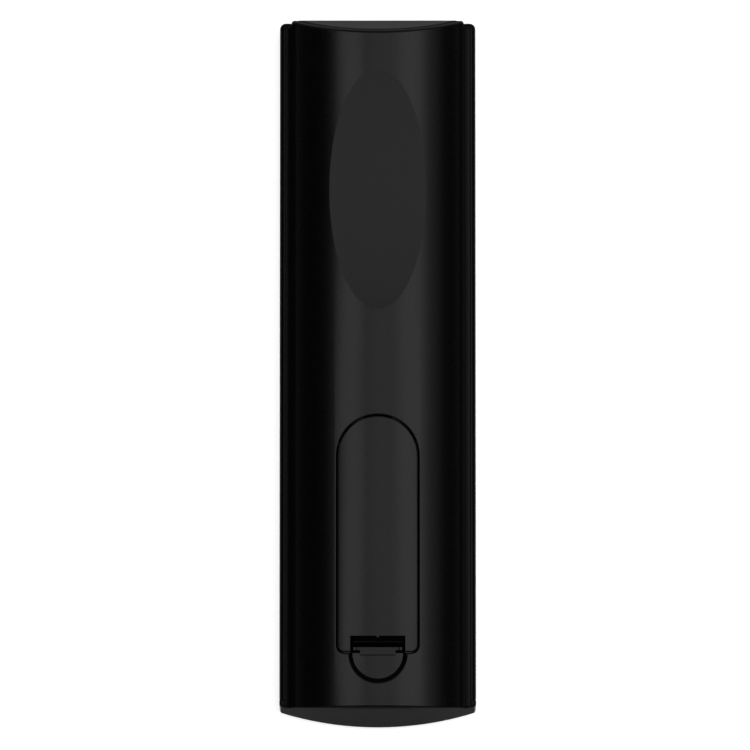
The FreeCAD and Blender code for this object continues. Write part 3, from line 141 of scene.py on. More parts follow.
WELL_FLOOR = 7.4 * MM
WELL_PAST = 3.3 * MM
HOLLOW_FOOT = -90 * MM
FOOT_BACKING = 2 * MM
LATCH_HALF = 7.4 * MM
POCKET_FLOOR = 10.65 * MM
POCKET_HEAD = -69.9 * MM
POCKET_DEPTH = 1.2 * MM
NOTCH_HEAD = -70.9 * MM
NOTCH_MARK = 0.6 * MM
ARM_HALF = 6.8 * MM
SHEET = 0.8 * MM
BEND = (-72.45 * MM, 13.8 * MM)
BEND_INNER = 1.55 * MM
BEND_OUTER = BEND_INNER + SHEET
BEND_SPLIT = 0.1 * MM
TONGUE_HALF = 3.5 * MM
TONGUE_ROOT = (-13.9 * MM, -12.47 * MM)
TONGUE_TIP = -10.1 * MM
TONGUE_TOP = 18.65 * MM
TONGUE_GAP = 0.3 * MM
TONGUE_ROOM_FLOOR = 16.2 * MM
LIP_RADIUS = BARREL_RADIUS - 2.9 * MM
RECESS_RADIUS = 8.0 * MM
RECESS_DEPTH = 1.6 * MM
RECESS_DRAFT = 0.75
RECESS_EDGE = 0.15 * MM

# Where the cover's painted-shade finishes start: length of an end, least lean of an end face, and depth under
# the barrel of the shade painted in the opening
END_ZONE = 12 * MM
END_FACING = 0.8
PAINTED_SHADE_DEPTH = 1.2 * RECESS_DEPTH

# Places of the painted-shade finishes among the materials of the cover and of the door
COVER_ENDS_SHADE, COVER_PAINTED_SHADE, COVER_RIM_SHADE = 1, 2, 3
DOOR_PAINTED_SHADE = 1

# Keys and face plate
FRONT_WALL = 2.4 * MM
KEY_FLANGE = 0.6 * MM
KEY_FLANGE_THICKNESS = 0.5 * MM
KEY_CLEARANCE = 0.25 * MM
KEY_ROUND = 1.0 * MM
KEY_SOFTEN = 0.35 * MM
HOLE_SOFTEN = 0.15 * MM
MID_ROUND = 0.3
RING_INNER = 7.3 * MM
RING_OUTER = 16.5 * MM
RING_SPLIT = 0.8 * MM
LENS_HOLE = 1.6 * MM
BOSS_RADIUS = 1.7 * MM
BOSS_BORE = 0.8 * MM

# In millimetres: least gap between two rows of board screws, and how far past its rounded ends a row is read
SCREW_ROW_GAP = 3
SCREW_ROW_REACH = 1

# Heights of the ink, how far each arrow key is turned, and the keys that carry no ink
INK_FRONT = 0.17 * MM
INK_BACK = 0.26 * MM
ARROWS = {"key_left": 0, "key_up": 90, "key_right": 180, "key_down": 270}
COLOUR_KEYS = ("key_red", "key_green", "key_yellow", "key_blue")

# Ends of the solids that cut right through, and the least distance that counts
ABOVE = THICKNESS + 4 * MM
BELOW = -4 * MM
FAR = 0.2
TINY = 0.002 * MM

# Steps along the outlines
BARREL_STEPS = 256
DOOR_STEPS = 360
SCOOP_STEPS = 1440
CIRCLE_STEPS = 96
LENS_STEPS = 48
DOT_STEPS = 48
BOSS_STEPS = 32
BAND_STEPS = 32
FOOT_STEPS = 32
PLAIN_STEPS = 48
ROUND_STEPS = 14
SWEEP_STEPS = 10
DOOR_CORNER_STEPS = 10
ARCH_STEPS = 64
SIDE_STEPS = 24
FLARE_STEPS = 12
BEND_STEPS = 12
KEY_CORNER_STEPS = 8
SOFT_STEPS = 6
ARROW_OUTER_STEPS = 16
ARROW_INNER_STEPS = 12

# Edges flatter than these angles in degrees are shaded smoothly
SHELL_CREASE = 8
KEY_CREASE = 30
CELL_CREASE = 35


def barrel_height(x):
    """Return the height of the barrel's surface at a place across the remote."""
    return BARREL_AXIS + math.sqrt(max(BARREL_RADIUS**2 - x * x, 0))


LEDGE_TOP = barrel_height(BARREL_HALF)
LEDGE_UNDER = LEDGE_TOP - WALL
SWEEP_START = math.asin((LEDGE_HALF + LEDGE_SWEEP * math.sin(LEDGE_LEAN)) / (BARREL_RADIUS + LEDGE_SWEEP))
SWEEP_HALF = BARREL_RADIUS * math.sin(SWEEP_START)


# Meshes


def add_mesh(name, points, faces):
    """Make an object from points and faces, with its normals outward."""
    mesh = bpy.data.meshes.new(name)
    mesh.from_pydata([tuple(p) for p in points], [], faces)
    work = bmesh.new()
    work.from_mesh(mesh)
    bmesh.ops.recalc_face_normals(work, faces=work.faces)
    work.to_mesh(mesh)
    work.free()
    thing = bpy.data.objects.new(name, mesh)
    bpy.context.collection.objects.link(thing)
    return thing


def stack(name, rings):
    """Join closed rings of equal counts into a solid with flat end caps."""
    count = len(rings[0])
    points = [p for ring in rings for p in ring]
    faces = [tuple(range(count)), tuple(range((len(rings) - 1) * count, len(rings) * count))]
    for row in range(len(rings) - 1):
        for i in range(count):
            j = (i + 1) % count
            a, b = row * count, (row + 1) * count
            faces.append((a + i, a + j, b + j, b + i))
    return add_mesh(name, points, faces)


def slab(name, outline, low, high):
    """Make a straight solid over an outline (x, y) between two heights."""
    return stack(name, [[(*p, z) for p in outline] for z in (low, high)])


def block(name, low, high):
    """Make a block between two corners."""
    ring = [(low[0], low[1]), (high[0], low[1]), (high[0], high[1]), (low[0], high[1])]
    return slab(name, ring, low[2], high[2])


def arc_points(centre, radius, start, end, steps):
    """Return points along an arc, its angles in degrees, both ends included."""
    points = []
    for i in range(steps + 1):
        turn = math.radians(start + (end - start) * i / steps)
        points.append((centre[0] + radius * math.cos(turn), centre[1] + radius * math.sin(turn)))
    return points


def barrel(name, radius, start=-FAR, end=FAR, steps=BARREL_STEPS):
    """Make a cylinder about the barrel's axis."""
    ring = arc_points((0, BARREL_AXIS), radius, 0, 360, steps)[:-1]
    return stack(name, [[(x, y, z) for x, z in ring] for y in (start, end)])


def roller(name, radius, centre):
    """Make a cylinder across the remote about a centre (y, z)."""
    ring = arc_points(centre, radius, 0, 360, SCOOP_STEPS)[:-1]
    return stack(name, [[(x, y, z) for y, z in ring] for x in (-FAR, FAR)])


def cut(solid, tool, operation="DIFFERENCE"):
    """Apply a boolean to a solid and delete the tool."""
    modifier = solid.modifiers.new("cut", "BOOLEAN")
    modifier.object = tool
    modifier.operation = operation
    modifier.solver = "MANIFOLD"
    bake(solid)
    bpy.data.objects.remove(tool)


def bake(thing):
    """Turn an object's modifiers into plain mesh."""
    graph = bpy.context.evaluated_depsgraph_get()
    mesh = bpy.data.meshes.new_from_object(thing.evaluated_get(graph))
    thing.modifiers.clear()
    old = thing.data
    thing.data = mesh
    mesh.name = thing.name
    bpy.data.meshes.remove(old)


def smooth(thing, angle):
    """Shade smoothly across edges flatter than an angle in degrees."""
    work = bmesh.new()
    work.from_mesh(thing.data)
    bmesh.ops.remove_doubles(work, verts=work.verts, dist=TINY)
    bmesh.ops.dissolve_degenerate(work, edges=work.edges, dist=TINY)
    limit = math.radians(angle)
    for face in work.faces:
        face.smooth = True
    for edge in work.edges:
        edge.smooth = len(edge.link_faces) == 2 and edge.calc_face_angle(0) < limit
    work.to_mesh(thing.data)
    work.free()


# Outer skin of the rear cover


def rounding(x, side, radius):
    """Return how far a round that ends at a side draws the surface in at a place across."""
    past = min(max(abs(x) - side + radius, 0), radius)
    return radius - math.sqrt(radius**2 - past**2)


def foot_edge(x, z):
    """Return where the sloped, bowed foot face lies at a place across and a height."""
    slope = FOOT_SLOPE - CORNER_STEEPER * (x / HALF_WIDTH)**2
    radius = FOOT_RADIUS - slope * (z - BLOCK_BOTTOM)
    return FOOT_AXIS - math.sqrt(radius**2 - x * x) + rounding(x, HALF_WIDTH, CORNER_ROUND)


def fillet(corner, before, after, radius):
    """Return the points of a round between two directions that meet at a corner, each (y, z)."""
    corner, before, after = Vector(corner), Vector(before).normalized(), Vector(after).normalized()
    turn = before.angle(after)
    reach = radius * math.tan(turn / 2)
    start = corner - before * reach
    inward = Vector((before.y, -before.x))
    if inward.dot(after) < 0:
        inward = -inward
    centre = start + inward * radius
    points = []
    for i in range(ROUND_STEPS + 1):
        share = turn * i / ROUND_STEPS
        points.append(centre - inward * radius * math.cos(share) + before * radius * math.sin(share))
    return [tuple(p) for p in points]


def cover_top(x):
    """Return the cover's height at a place across it: barrel, swept ledge and foot block."""
    across = abs(x)
    if across < SWEEP_HALF:
        return barrel_height(x)
    if across <= LEDGE_HALF:
        slope = math.asin(math.sin(SWEEP_START) - (across - SWEEP_HALF) / LEDGE_SWEEP)
        return barrel_height(SWEEP_HALF) - LEDGE_SWEEP * (math.cos(slope) - math.cos(SWEEP_START))
    return LEDGE_TOP - rounding(x, HALF_WIDTH, BLOCK_ROUND)


def cover_profile(x):
    """Return the closed outline of the cover at a place across it: foot face, top, head face, underside."""
    top = cover_top(x)
    heights = [BLOCK_BOTTOM + (top - BLOCK_BOTTOM) * share for share in FOOT_SHARES]
    points = [(foot_edge(x, z), z) for z in heights]
    way = Vector((foot_edge(x, top) - foot_edge(x, heights[-1]), top - heights[-1]))
    edge = END_ROUND + (CORNER_END_ROUND - END_ROUND) * (x / HALF_WIDTH)**2
    points += fillet((foot_edge(x, top), top), way, (1, 0), edge)
    end = HALF_LENGTH - rounding(x, BARREL_HALF, HEAD_ROUND)
    head = end - HEAD_SLOPE * (top - LEDGE_TOP)
    for y, z in fillet((head, top), (1, 0), (HEAD_SLOPE, -1), END_ROUND):
        points.append((min(y, end), z))
    lowest = min(points[-1][1], LEDGE_TOP)
    points += [(end, lowest - WALL / 2), (end, lowest - WALL), (end, BLOCK_BOTTOM)]
    return points


def cover_stations():
    """Return places across the cover, from the middle out, close together at its rounds."""
    turns = [math.sin(math.pi / 2 * i / ROUND_STEPS) for i in range(1, ROUND_STEPS + 1)]
    plain = BARREL_HALF - HEAD_ROUND
    places = [plain * i / PLAIN_STEPS for i in range(1, PLAIN_STEPS + 1)]
    places += [plain + HEAD_ROUND * turn for turn in turns[:-1]]
    places += [BARREL_HALF - TINY, BARREL_HALF + TINY]
    places += [SWEEP_HALF + (LEDGE_HALF - SWEEP_HALF) * i / SWEEP_STEPS for i in range(SWEEP_STEPS + 1)]
    places.append(LEDGE_HALF + SEAM)
    places += [HALF_WIDTH - BLOCK_ROUND + BLOCK_ROUND * turn for turn in turns]
    places.sort()
    return [x for i, x in enumerate(places) if i == 0 or x - places[i - 1] > TINY / 2]


def cover_skin():
    """Solid under the rear cover's outer surface, with its end edges rounded."""
    half = cover_stations()
    across = [-x for x in half[::-1]] + [0] + half
    return stack("rear_cover_fine", [[(x, y, z) for y, z in cover_profile(x)] for x in across])


def on_circle(centre, radius, turn):
    """Return a place on a circle as (x, y, outward x, outward y)."""
    way = (math.cos(turn), math.sin(turn))
    return (centre[0] + radius * way[0], centre[1] + radius * way[1], *way)


def circle(radius, centre_y):
    """Return a circle as (x, y, outward x, outward y)."""
    return [on_circle((0, centre_y), radius, 2 * math.pi * i / CIRCLE_STEPS) for i in range(CIRCLE_STEPS)]


def arch(gap):
    """Return the door's outline drawn in by a gap, as (x, y, outward x, outward y)."""
    half, foot = OPENING_HALF - gap, OPENING_FOOT + gap
    corner = DOOR_CORNER - gap
    shoulder = OPENING_HEAD - OPENING_HALF
    rounds = []
    for centre, radius, start, end, steps in (
        ((half - corner, foot + corner), corner, -90, 0, DOOR_CORNER_STEPS),
        ((0, shoulder), half, 0, 180, ARCH_STEPS),
        ((-half + corner, foot + corner), corner, 180, 270, DOOR_CORNER_STEPS),
    ):
        turns = [math.radians(start + (end - start) * i / steps) for i in range(steps + 1)]
        rounds.append([on_circle(centre, radius, turn) for turn in turns])
    side = []
    for i in range(1, SIDE_STEPS):
        share = i / SIDE_STEPS
        side.append((half, foot + corner + (shoulder - foot - corner) * share, 1, 0))
    other_side = [(-x, y, -nx, ny) for x, y, nx, ny in side[::-1]]
    return rounds[0] + side + rounds[1] + other_side + rounds[2]


def rim_solid(name, outline, steps, bottom, top):
    """Solid over an outline, its wall drawn by steps (offset outward, height over the barrel)."""
    rings = [[(x + nx * steps[0][0], y + ny * steps[0][0], bottom) for x, y, nx, ny in outline]]
    for offset, lift in steps:
        ring = []
        for x, y, nx, ny in outline:
            px, py = x + nx * offset, y + ny * offset
            ring.append((px, py, barrel_height(px) + lift))
        rings.append(ring)
    rings.append([(x + nx * steps[-1][0], y + ny * steps[-1][0], top) for x, y, nx, ny in outline])
    return stack(name, rings)


def flare(radius, way):
    """Return the steps of a rounded rim: way 1 widens towards the surface, -1 narrows."""
    rows = []
    for i in range(FLARE_STEPS + 1):
        turn = math.radians(90 * i / FLARE_STEPS)
        rows.append((way * radius * (1 - math.cos(turn)), radius * (math.sin(turn) - 1)))
    return rows


def scoop_cylinder():
    """Return the radius and the centre (y, z) of the cylinder that cuts the finger recess."""
    depth = BARREL_RADIUS - math.sqrt(BARREL_RADIUS**2 - SCOOP_HALF_WIDTH**2)
    radius = (SCOOP_HALF_LENGTH**2 + depth**2) / (2 * depth)
    return radius, (SCOOP_Y, THICKNESS - depth + radius)


def cover_hollow():
    """Solid inside the rear cover, less the walls round its well and under its recesses."""
    radius, centre = scoop_cylinder()
    hollow = barrel("hollow", BARREL_RADIUS - WALL, HOLLOW_FOOT)
    cut(hollow, block("hollow_low", (-FAR, -FAR, -FAR), (FAR, 2 * FAR, BELOW)))
    cut(hollow, block("well_block", (-WELL_HALF - WALL, OPENING_FOOT - POCKET_DEPTH - WALL, BELOW - FAR),
                      (WELL_HALF + WALL, OPENING_HEAD + WELL_PAST, ABOVE)))
    cut(hollow, roller("scoop_backing", radius + WALL, centre))
    ring = [(x, y) for x, y, _, _ in circle(RECESS_RADIUS + WALL, OPENING_FOOT)]
    backing = slab("recess_backing", ring, BELOW, ABOVE)
    cut(backing, barrel("recess_under", LIP_RADIUS))
    cut(hollow, backing)
    foot_wall = foot_edge(0, LEDGE_TOP) + WALL + FOOT_BACKING
    cut(hollow, block("foot_wall", (-FAR, -FAR, -FAR), (FAR, foot_wall, ABOVE)))
    return hollow


def cut_well(cover):
    """Cut the door's opening with its seat and the battery well into the rear cover."""
    opening = rim_solid("opening", arch(0), flare(DOOR_EDGE, 1), WELL_FLOOR, ABOVE)
    cut(opening, barrel("seat", SEAT_RADIUS))
    cut(cover, opening)
    well = block("well", (-WELL_HALF, WELL_FOOT, WELL_FLOOR), (WELL_HALF, WELL_HEAD, ABOVE))
    cut(well, barrel("well_limit", SEAT_RADIUS + SEAM), "INTERSECT")
    cut(cover, well)


def cut_latch_room(cover):
    """Cut the latch's shaft, the room of its catch and the thumb recess into the rear cover."""
    high = (LATCH_HALF, POCKET_HEAD, ABOVE)
    cut(cover, block("latch_shaft", (-LATCH_HALF, OPENING_FOOT, POCKET_FLOOR), high))
    room = block("catch_room", (-LATCH_HALF, OPENING_FOOT - POCKET_DEPTH, POCKET_FLOOR), high)
    cut(room, barrel("lip", LIP_RADIUS), "INTERSECT")
    cut(cover, room)
    slope = [
        (-RECESS_DRAFT * 2 * RECESS_DEPTH, -2 * RECESS_DEPTH),
        (-RECESS_DRAFT * RECESS_EDGE, -RECESS_EDGE),
        (RECESS_EDGE / 3, -RECESS_EDGE / 4),
        (RECESS_EDGE, 0),
    ]
    ring = circle(RECESS_RADIUS, OPENING_FOOT)
    recess = rim_solid("thumb_recess", ring, slope, THICKNESS - 3 * RECESS_DEPTH, ABOVE)
    cut(recess, barrel("recess_floor", BARREL_RADIUS - RECESS_DEPTH))
    cut(cover, recess)


def cut_tongue_room(cover):
    """Cut the room of the door's tongue into the rear cover."""
    low = (-TONGUE_HALF - TONGUE_GAP, TONGUE_ROOT[0] - 4 * TONGUE_GAP, TONGUE_ROOM_FLOOR)
    high = (TONGUE_HALF + TONGUE_GAP, TONGUE_TIP + TONGUE_GAP, ABOVE)
    tongue = block("tongue_room", low, high)
    cut(tongue, barrel("tongue_limit", BARREL_RADIUS - WALL), "INTERSECT")
    cut(cover, tongue)


def rear_cover():
    """Fine mesh of the rear cover: barrel, finger recess, door opening, well and thumb recess."""
    cover = cover_skin()
    for side in (1, -1):
        x = sorted((side * LEDGE_HALF, side * FAR))
        cut(cover, block("side", (x[0], FOOT_BLOCK, BELOW), (x[1], FAR, ABOVE)))
        x = sorted((side * BARREL_HALF, side * FAR))
        cut(cover, block("ledge_end", (x[0], HEAD_LIMIT, BELOW), (x[1], FAR, ABOVE)))
    cut(cover, block("underside", (-FAR, FOOT_BLOCK, BELOW), (FAR, FAR, LEDGE_UNDER)))
    cut(cover, cover_hollow())
    cut(cover, roller("scoop", *scoop_cylinder()))
    cut_well(cover)
    cut_latch_room(cover)
    cut_tongue_room(cover)
    smooth(cover, SHELL_CREASE)
    return cover


def battery_door():
    """Fine mesh of the battery door with its tongue and the inner arm of its latch."""
    plate = rim_solid("battery_door_fine", arch(DOOR_GAP), flare(DOOR_EDGE, -1), WELL_FLOOR, ABOVE)
    cut(plate, barrel("door_outer", BARREL_RADIUS, steps=DOOR_STEPS), "INTERSECT")
    cut(plate, barrel("door_inner", BARREL_RADIUS - WALL, steps=DOOR_STEPS))
    cut(plate, block("notch", (-LATCH_HALF, -FAR, BELOW), (LATCH_HALF, NOTCH_HEAD, ABOVE)))
    mark = [(-NOTCH_MARK, NOTCH_HEAD + SEAM), (NOTCH_MARK, NOTCH_HEAD + SEAM), (0, NOTCH_HEAD - NOTCH_MARK)]
    cut(plate, slab("mark", mark, THICKNESS - WALL, barrel_height(NOTCH_MARK)), "UNION")
    inside = THICKNESS - WALL + SEAM
    under = TONGUE_TOP - SHEET
    for name, tip, top in (("root", TONGUE_ROOT[1], inside), ("tongue", TONGUE_TIP, TONGUE_TOP)):
        cut(plate, block(name, (-TONGUE_HALF, TONGUE_ROOT[0], under), (TONGUE_HALF, tip, top)), "UNION")
    arm = block("arm", (-ARM_HALF, NOTCH_HEAD, BEND[1]), (ARM_HALF, NOTCH_HEAD + SHEET, ABOVE))
    cut(arm, barrel("arm_limit", BARREL_RADIUS - WALL + SEAM), "INTERSECT")
    cut(plate, arm, "UNION")
    outer_angle = math.degrees(math.acos(BEND_SPLIT / BEND_OUTER))
    inner_angle = math.degrees(math.acos(BEND_SPLIT / BEND_INNER))
    ring = arc_points(BEND, BEND_OUTER, -outer_angle, 0, BEND_STEPS)
    ring += arc_points(BEND, BEND_INNER, 0, -inner_angle, BEND_STEPS)
    cut(plate, stack("bend", [[(x, y, z) for y, z in ring] for x in (-ARM_HALF, ARM_HALF)]), "UNION")
    smooth(plate, SHELL_CREASE)
    return plate


# Face plate, keys and their symbols


def key_frame(name):
    """Return a key's middle (x, y), width, length, and its lowest and highest height."""
    low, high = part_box(name)
    middle = ((low.x + high.x) / 2, (low.y + high.y) / 2)
    return middle, high.x - low.x - 2 * KEY_FLANGE, high.y - low.y - 2 * KEY_FLANGE, low.z, high.z


def rounded_ring(middle, width, length, radius, inset):
    """Return a rounded rectangle drawn in by an inset."""
    x, y, corner = width / 2 - inset, length / 2 - inset, radius - inset
    ring = []
    for across, along, start in ((1, 1, 0), (-1, 1, 90), (-1, -1, 180), (1, -1, 270)):
        centre = (middle[0] + across * (x - corner), middle[1] + along * (y - corner))
        ring += arc_points(centre, corner, start, start + 90, KEY_CORNER_STEPS)
    return ring


def disc_ring(middle, radius, inset, steps=CIRCLE_STEPS):
    """Return a circle drawn in by an inset."""
    return arc_points(middle, radius - inset, 0, 360, steps)[:-1]


def bend(before, corner, after):
    """Return the points of a soft turn at a corner."""
    before, corner, after = Vector(before), Vector(corner), Vector(after)
    shares = [i / SOFT_STEPS for i in range(SOFT_STEPS + 1)]
    return [before * (1 - t)**2 + corner * 2 * t * (1 - t) + after * t**2 for t in shares]


def arrow_ring(middle, angle, inset):
    """Return the outline of a quarter of the ring round the middle key, drawn in by an inset."""
    outer, inner = RING_OUTER - inset, RING_INNER + inset
    soft = KEY_ROUND - inset
    ends = [math.radians(45) - math.asin((RING_SPLIT / 2 + inset) / radius) for radius in (outer, inner)]

    def spot(radius, turn):
        return Vector((radius * math.cos(turn), radius * math.sin(turn)))

    corners = [spot(outer, ends[0]), spot(inner, ends[1])]
    side = (corners[1] - corners[0]).normalized() * soft
    outer_end, inner_end = ends[0] - soft / outer, ends[1] - soft / inner
    half = [spot(outer, outer_end * i / ARROW_OUTER_STEPS) for i in range(ARROW_OUTER_STEPS)]
    half += bend(spot(outer, outer_end), corners[0], corners[0] + side)
    half += bend(corners[1] - side, corners[1], spot(inner, inner_end))
    half += [spot(inner, inner_end * i / ARROW_INNER_STEPS) for i in reversed(range(ARROW_INNER_STEPS))]
    ring = half + [Vector((p.x, -p.y)) for p in half[-2:0:-1]]
    turn = math.radians(angle)
    return [(middle[0] + p.x * math.cos(turn) - p.y * math.sin(turn),
             middle[1] + p.x * math.sin(turn) + p.y * math.cos(turn)) for p in ring]


def key_outline(name):
    """Return a function that gives a key's outline for an inset."""
    middle, width, length, _, _ = key_frame(name)
    if name == "key_ok":
        return lambda inset: disc_ring(middle, width / 2 + KEY_FLANGE, inset)
    if name in ARROWS:
        hub = key_frame("key_ok")[0]
        return lambda inset: arrow_ring(hub, ARROWS[name], inset)
    return lambda inset: rounded_ring(middle, width, length, KEY_ROUND, inset)


def key_cap(name):
    """Fine mesh of a key: a cap with softened edges on its flange."""
    ring = key_outline(name)
    _, _, _, front, back = key_frame(name)
    levels = [(back, 0)]
    if name != "key_ok" and name not in ARROWS:
        under = back - KEY_FLANGE_THICKNESS
        levels = [(back, -KEY_FLANGE), (under, -KEY_FLANGE), (under, 0)]
    for i in range(SOFT_STEPS + 1):
        turn = math.radians(90 * i / SOFT_STEPS)
        levels.append((front + KEY_SOFTEN * (1 - math.sin(turn)), KEY_SOFTEN * (1 - math.cos(turn))))
    cap = stack(f"{name}_fine", [[(*p, z) for p in ring(inset)] for z, inset in levels])
    smooth(cap, KEY_CREASE)
    return cap


def merged(name, things):
    """Join objects that don't touch into one and delete them."""
    work = bmesh.new()
    for thing in things:
        work.from_mesh(thing.data)
        bpy.data.objects.remove(thing)
    mesh = bpy.data.meshes.new(name)
    work.to_mesh(mesh)
    work.free()
    whole = bpy.data.objects.new(name, mesh)
    bpy.context.collection.objects.link(whole)
    return whole


def hole_tool(name, ring, front):
    """Solid that cuts a hole with a softened front edge, its outline given for an inset."""
    levels = [
        (2 * FRONT_WALL, 0),
        (front + HOLE_SOFTEN, 0),
        (front + HOLE_SOFTEN * MID_ROUND, -HOLE_SOFTEN * MID_ROUND),
        (front, -HOLE_SOFTEN),
        (front - FRONT_WALL, -HOLE_SOFTEN),
    ]
    return stack(name, [[(*p, z) for p in ring(inset)] for z, inset in levels])


def faceplate(keys):
    """Fine mesh of the face plate: a hole round each key, the lens hole and the screw bosses."""
    low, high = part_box("faceplate")
    radius = FOOT_RADIUS - HALF_WIDTH + high.x
    foot = [low.x + (high.x - low.x) * i / FOOT_STEPS for i in range(FOOT_STEPS + 1)]
    ring = [(x, FOOT_AXIS - math.sqrt(radius**2 - x * x)) for x in foot] + [(high.x, high.y), (low.x, high.y)]
    plate = slab("faceplate_fine", ring, low.z, FRONT_WALL)
    tools = []
    for name in keys:
        if name not in ARROWS and name != "key_ok":
            outline = key_outline(name)
            tools.append(hole_tool("hole", lambda inset: outline(inset - KEY_CLEARANCE), low.z))
    hub = key_frame("key_ok")[0]
    around = RING_OUTER + KEY_CLEARANCE
    tools.append(hole_tool("hole_ring", lambda inset: disc_ring(hub, around, inset), low.z))
    lens_low, lens_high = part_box("indicator_lens")
    lens = ((lens_low.x + lens_high.x) / 2, (lens_low.y + lens_high.y) / 2)
    tools.append(hole_tool("hole_lens", lambda inset: disc_ring(lens, LENS_HOLE, inset, LENS_STEPS), low.z))
    cut(plate, merged("holes", tools))
    bosses, bores = [], []
    for place in screw_places():
        for group, size, bottom, top in ((bosses, BOSS_RADIUS, FRONT_WALL - SEAM, high.z),
                                         (bores, BOSS_BORE, FRONT_WALL - 2 * SEAM, ABOVE)):
            group.append(slab("boss", disc_ring(place, size, 0, BOSS_STEPS), bottom, top))
    cut(plate, merged("bosses", bosses), "UNION")
    cut(plate, merged("bores", bores))
    smooth(plate, KEY_CREASE)
    return plate


def screw_places():
    """Return the middle (x, y) of each board screw, read from the screws' own mesh."""
    points = [v.co for v in NODES["board_screws"].data.vertices]
    low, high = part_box("board_screws")
    rows = sorted({round(p.y / MM) for p in points})
    groups = [[rows[0]]]
    for row in rows[1:]:
        if row - groups[-1][-1] > SCREW_ROW_GAP:
            groups.append([])
        groups[-1].append(row)
    places = []
    for group in groups:
        first, last = group[0] - SCREW_ROW_REACH, group[-1] + SCREW_ROW_REACH
        ys = [p.y for p in points if first <= p.y / MM <= last]
        y = (min(ys) + max(ys)) / 2
        reach = (max(ys) - min(ys)) / 2
        places += [(low.x + reach, y), (high.x - reach, y)]
    return places


# Symbols are drawn as they are read from the front, in millimetres: u to the right and v up


def bar(u, v, width, height, lean=0):
    """Return a bar about a middle, turned by an angle."""
    turn = math.radians(lean)
    signs = ((-1, -1), (1, -1), (1, 1), (-1, 1))
    corners = [(side * width / 2, end * height / 2) for side, end in signs]
    return [(u + a * math.cos(turn) - b * math.sin(turn), v + a * math.sin(turn) + b * math.cos(turn))
            for a, b in corners]


def wedge(u, v, size, way):
    """Return a triangle that points along an angle."""
    return arc_points((u, v), size, way, way + 360, 3)[:-1]


def band(u, v, outer, inner, start, end):
    """Return part of a ring."""
    ring = arc_points((u, v), outer, start, end, BAND_STEPS)
    return ring + arc_points((u, v), inner, end, start, BAND_STEPS)


def ring_halves(u, v, outer, inner):
    """Return a ring as two halves."""
    return [band(u, v, outer, inner, 0, 180), band(u, v, outer, inner, 180, 360)]


STROKE = 0.32
SYMBOLS = {
    "key_power": [band(0, -0.1, 1.55, 1.23, 125, 415), bar(0, 0.9, STROKE, 1.5)],
    "key_source": [bar(0, 1.15, 3.4, STROKE), bar(0, -1.15, 3.4, STROKE), bar(1.7, 0, STROKE, 2.62),
                   bar(-1.7, 1.0, STROKE, 0.6), bar(-1.7, -1.0, STROKE, 0.6), bar(-1.2, 0, 2.0, STROKE),
                   wedge(0.1, 0, 0.75, 0)],
    "key_rewind": [wedge(-0.8, 0, 1.1, 180), wedge(1.0, 0, 1.1, 180)],
    "key_play": [wedge(0, 0, 1.3, 0)],
    "key_forward": [wedge(0.8, 0, 1.1, 0), wedge(-1.0, 0, 1.1, 0)],
    "key_record": [arc_points((0, 0), 1.1, 0, 360, DOT_STEPS)[:-1]],
    "key_stop": [bar(0, 0, 2.0, 2.0)],
    "key_skip": [wedge(-0.5, 0, 1.15, 0), bar(1.05, 0, 0.4, 2.0)],
    "key_menu": [bar(0, 0.9, 2.8, STROKE), bar(0, 0, 2.8, STROKE), bar(0, -0.9, 2.8, STROKE)],
    "key_guide": [bar(u, v, 0.9, 0.6) for u in (-1.3, 0, 1.3) for v in (-0.9, 0, 0.9)],
    "key_back": [wedge(-1.3, 0.5, 0.8, 180), bar(0.05, 0.5, 1.9, STROKE),
                 band(1.0, -0.2, 0.86, 0.54, -90, 90), bar(0.1, -0.9, 1.8, STROKE)],
    "key_info": ring_halves(0, 0, 1.7, 1.4) + [bar(0, -0.3, STROKE, 1.3), bar(0, 0.8, STROKE, STROKE)],
    "key_volume": [bar(0, 5.6, 2.0, STROKE), bar(0, 6.18, STROKE, 0.84), bar(0, 5.02, STROKE, 0.84),
                   bar(0, -5.6, 2.0, STROKE)],
    "key_channel": [bar(-0.62, 5.5, 1.7, STROKE, 40), bar(0.62, 5.5, 1.7, STROKE, -40),
                    bar(-0.62, -5.5, 1.7, STROKE, -40), bar(0.62, -5.5, 1.7, STROKE, 40)],
    "key_mute": [[(-1.9, -0.5), (-1.2, -0.5), (-0.3, -1.3), (-0.3, 1.3), (-1.2, 0.5), (-1.9, 0.5)],
                 bar(1.1, 0, 2.0, STROKE, 45), bar(1.1, 0, 2.0, STROKE, -45)],
    "key_home": [[(-1.7, 0), (0, 1.6), (1.7, 0)], bar(-0.75, -0.8, 0.7, 1.4), bar(0.75, -0.8, 0.7, 1.4)],
    "key_ok": ring_halves(0, 0, 2.2, 1.85),
    "key_up": [wedge(0, 11.9, 1.3, 90)],
    "key_down": [wedge(0, -11.9, 1.3, 270)],
    "key_left": [wedge(-11.9, 0, 1.3, 180)],
    "key_right": [wedge(11.9, 0, 1.3, 0)],
}
LETTERS = {f"key_digit_{digit}": str(digit) for digit in range(10)}
LETTERS.update({"key_star": "*", "key_hash": "#"})
LETTER_SIZE = 4.6 * MM


def symbol(name):
    """Printed symbol of a key, read from the front."""
    middle = key_frame("key_ok" if name in ARROWS else name)[0]
    parts = []
    for outline in SYMBOLS[name]:
        ring = [(middle[0] - u * MM, middle[1] + v * MM) for u, v in outline]
        parts.append(slab("ink", ring, INK_FRONT, INK_BACK))
    whole = parts.pop()
    for part in parts:
        cut(whole, part, "UNION")
    whole.name = whole.data.name = f"symbol_{name}"
    return whole


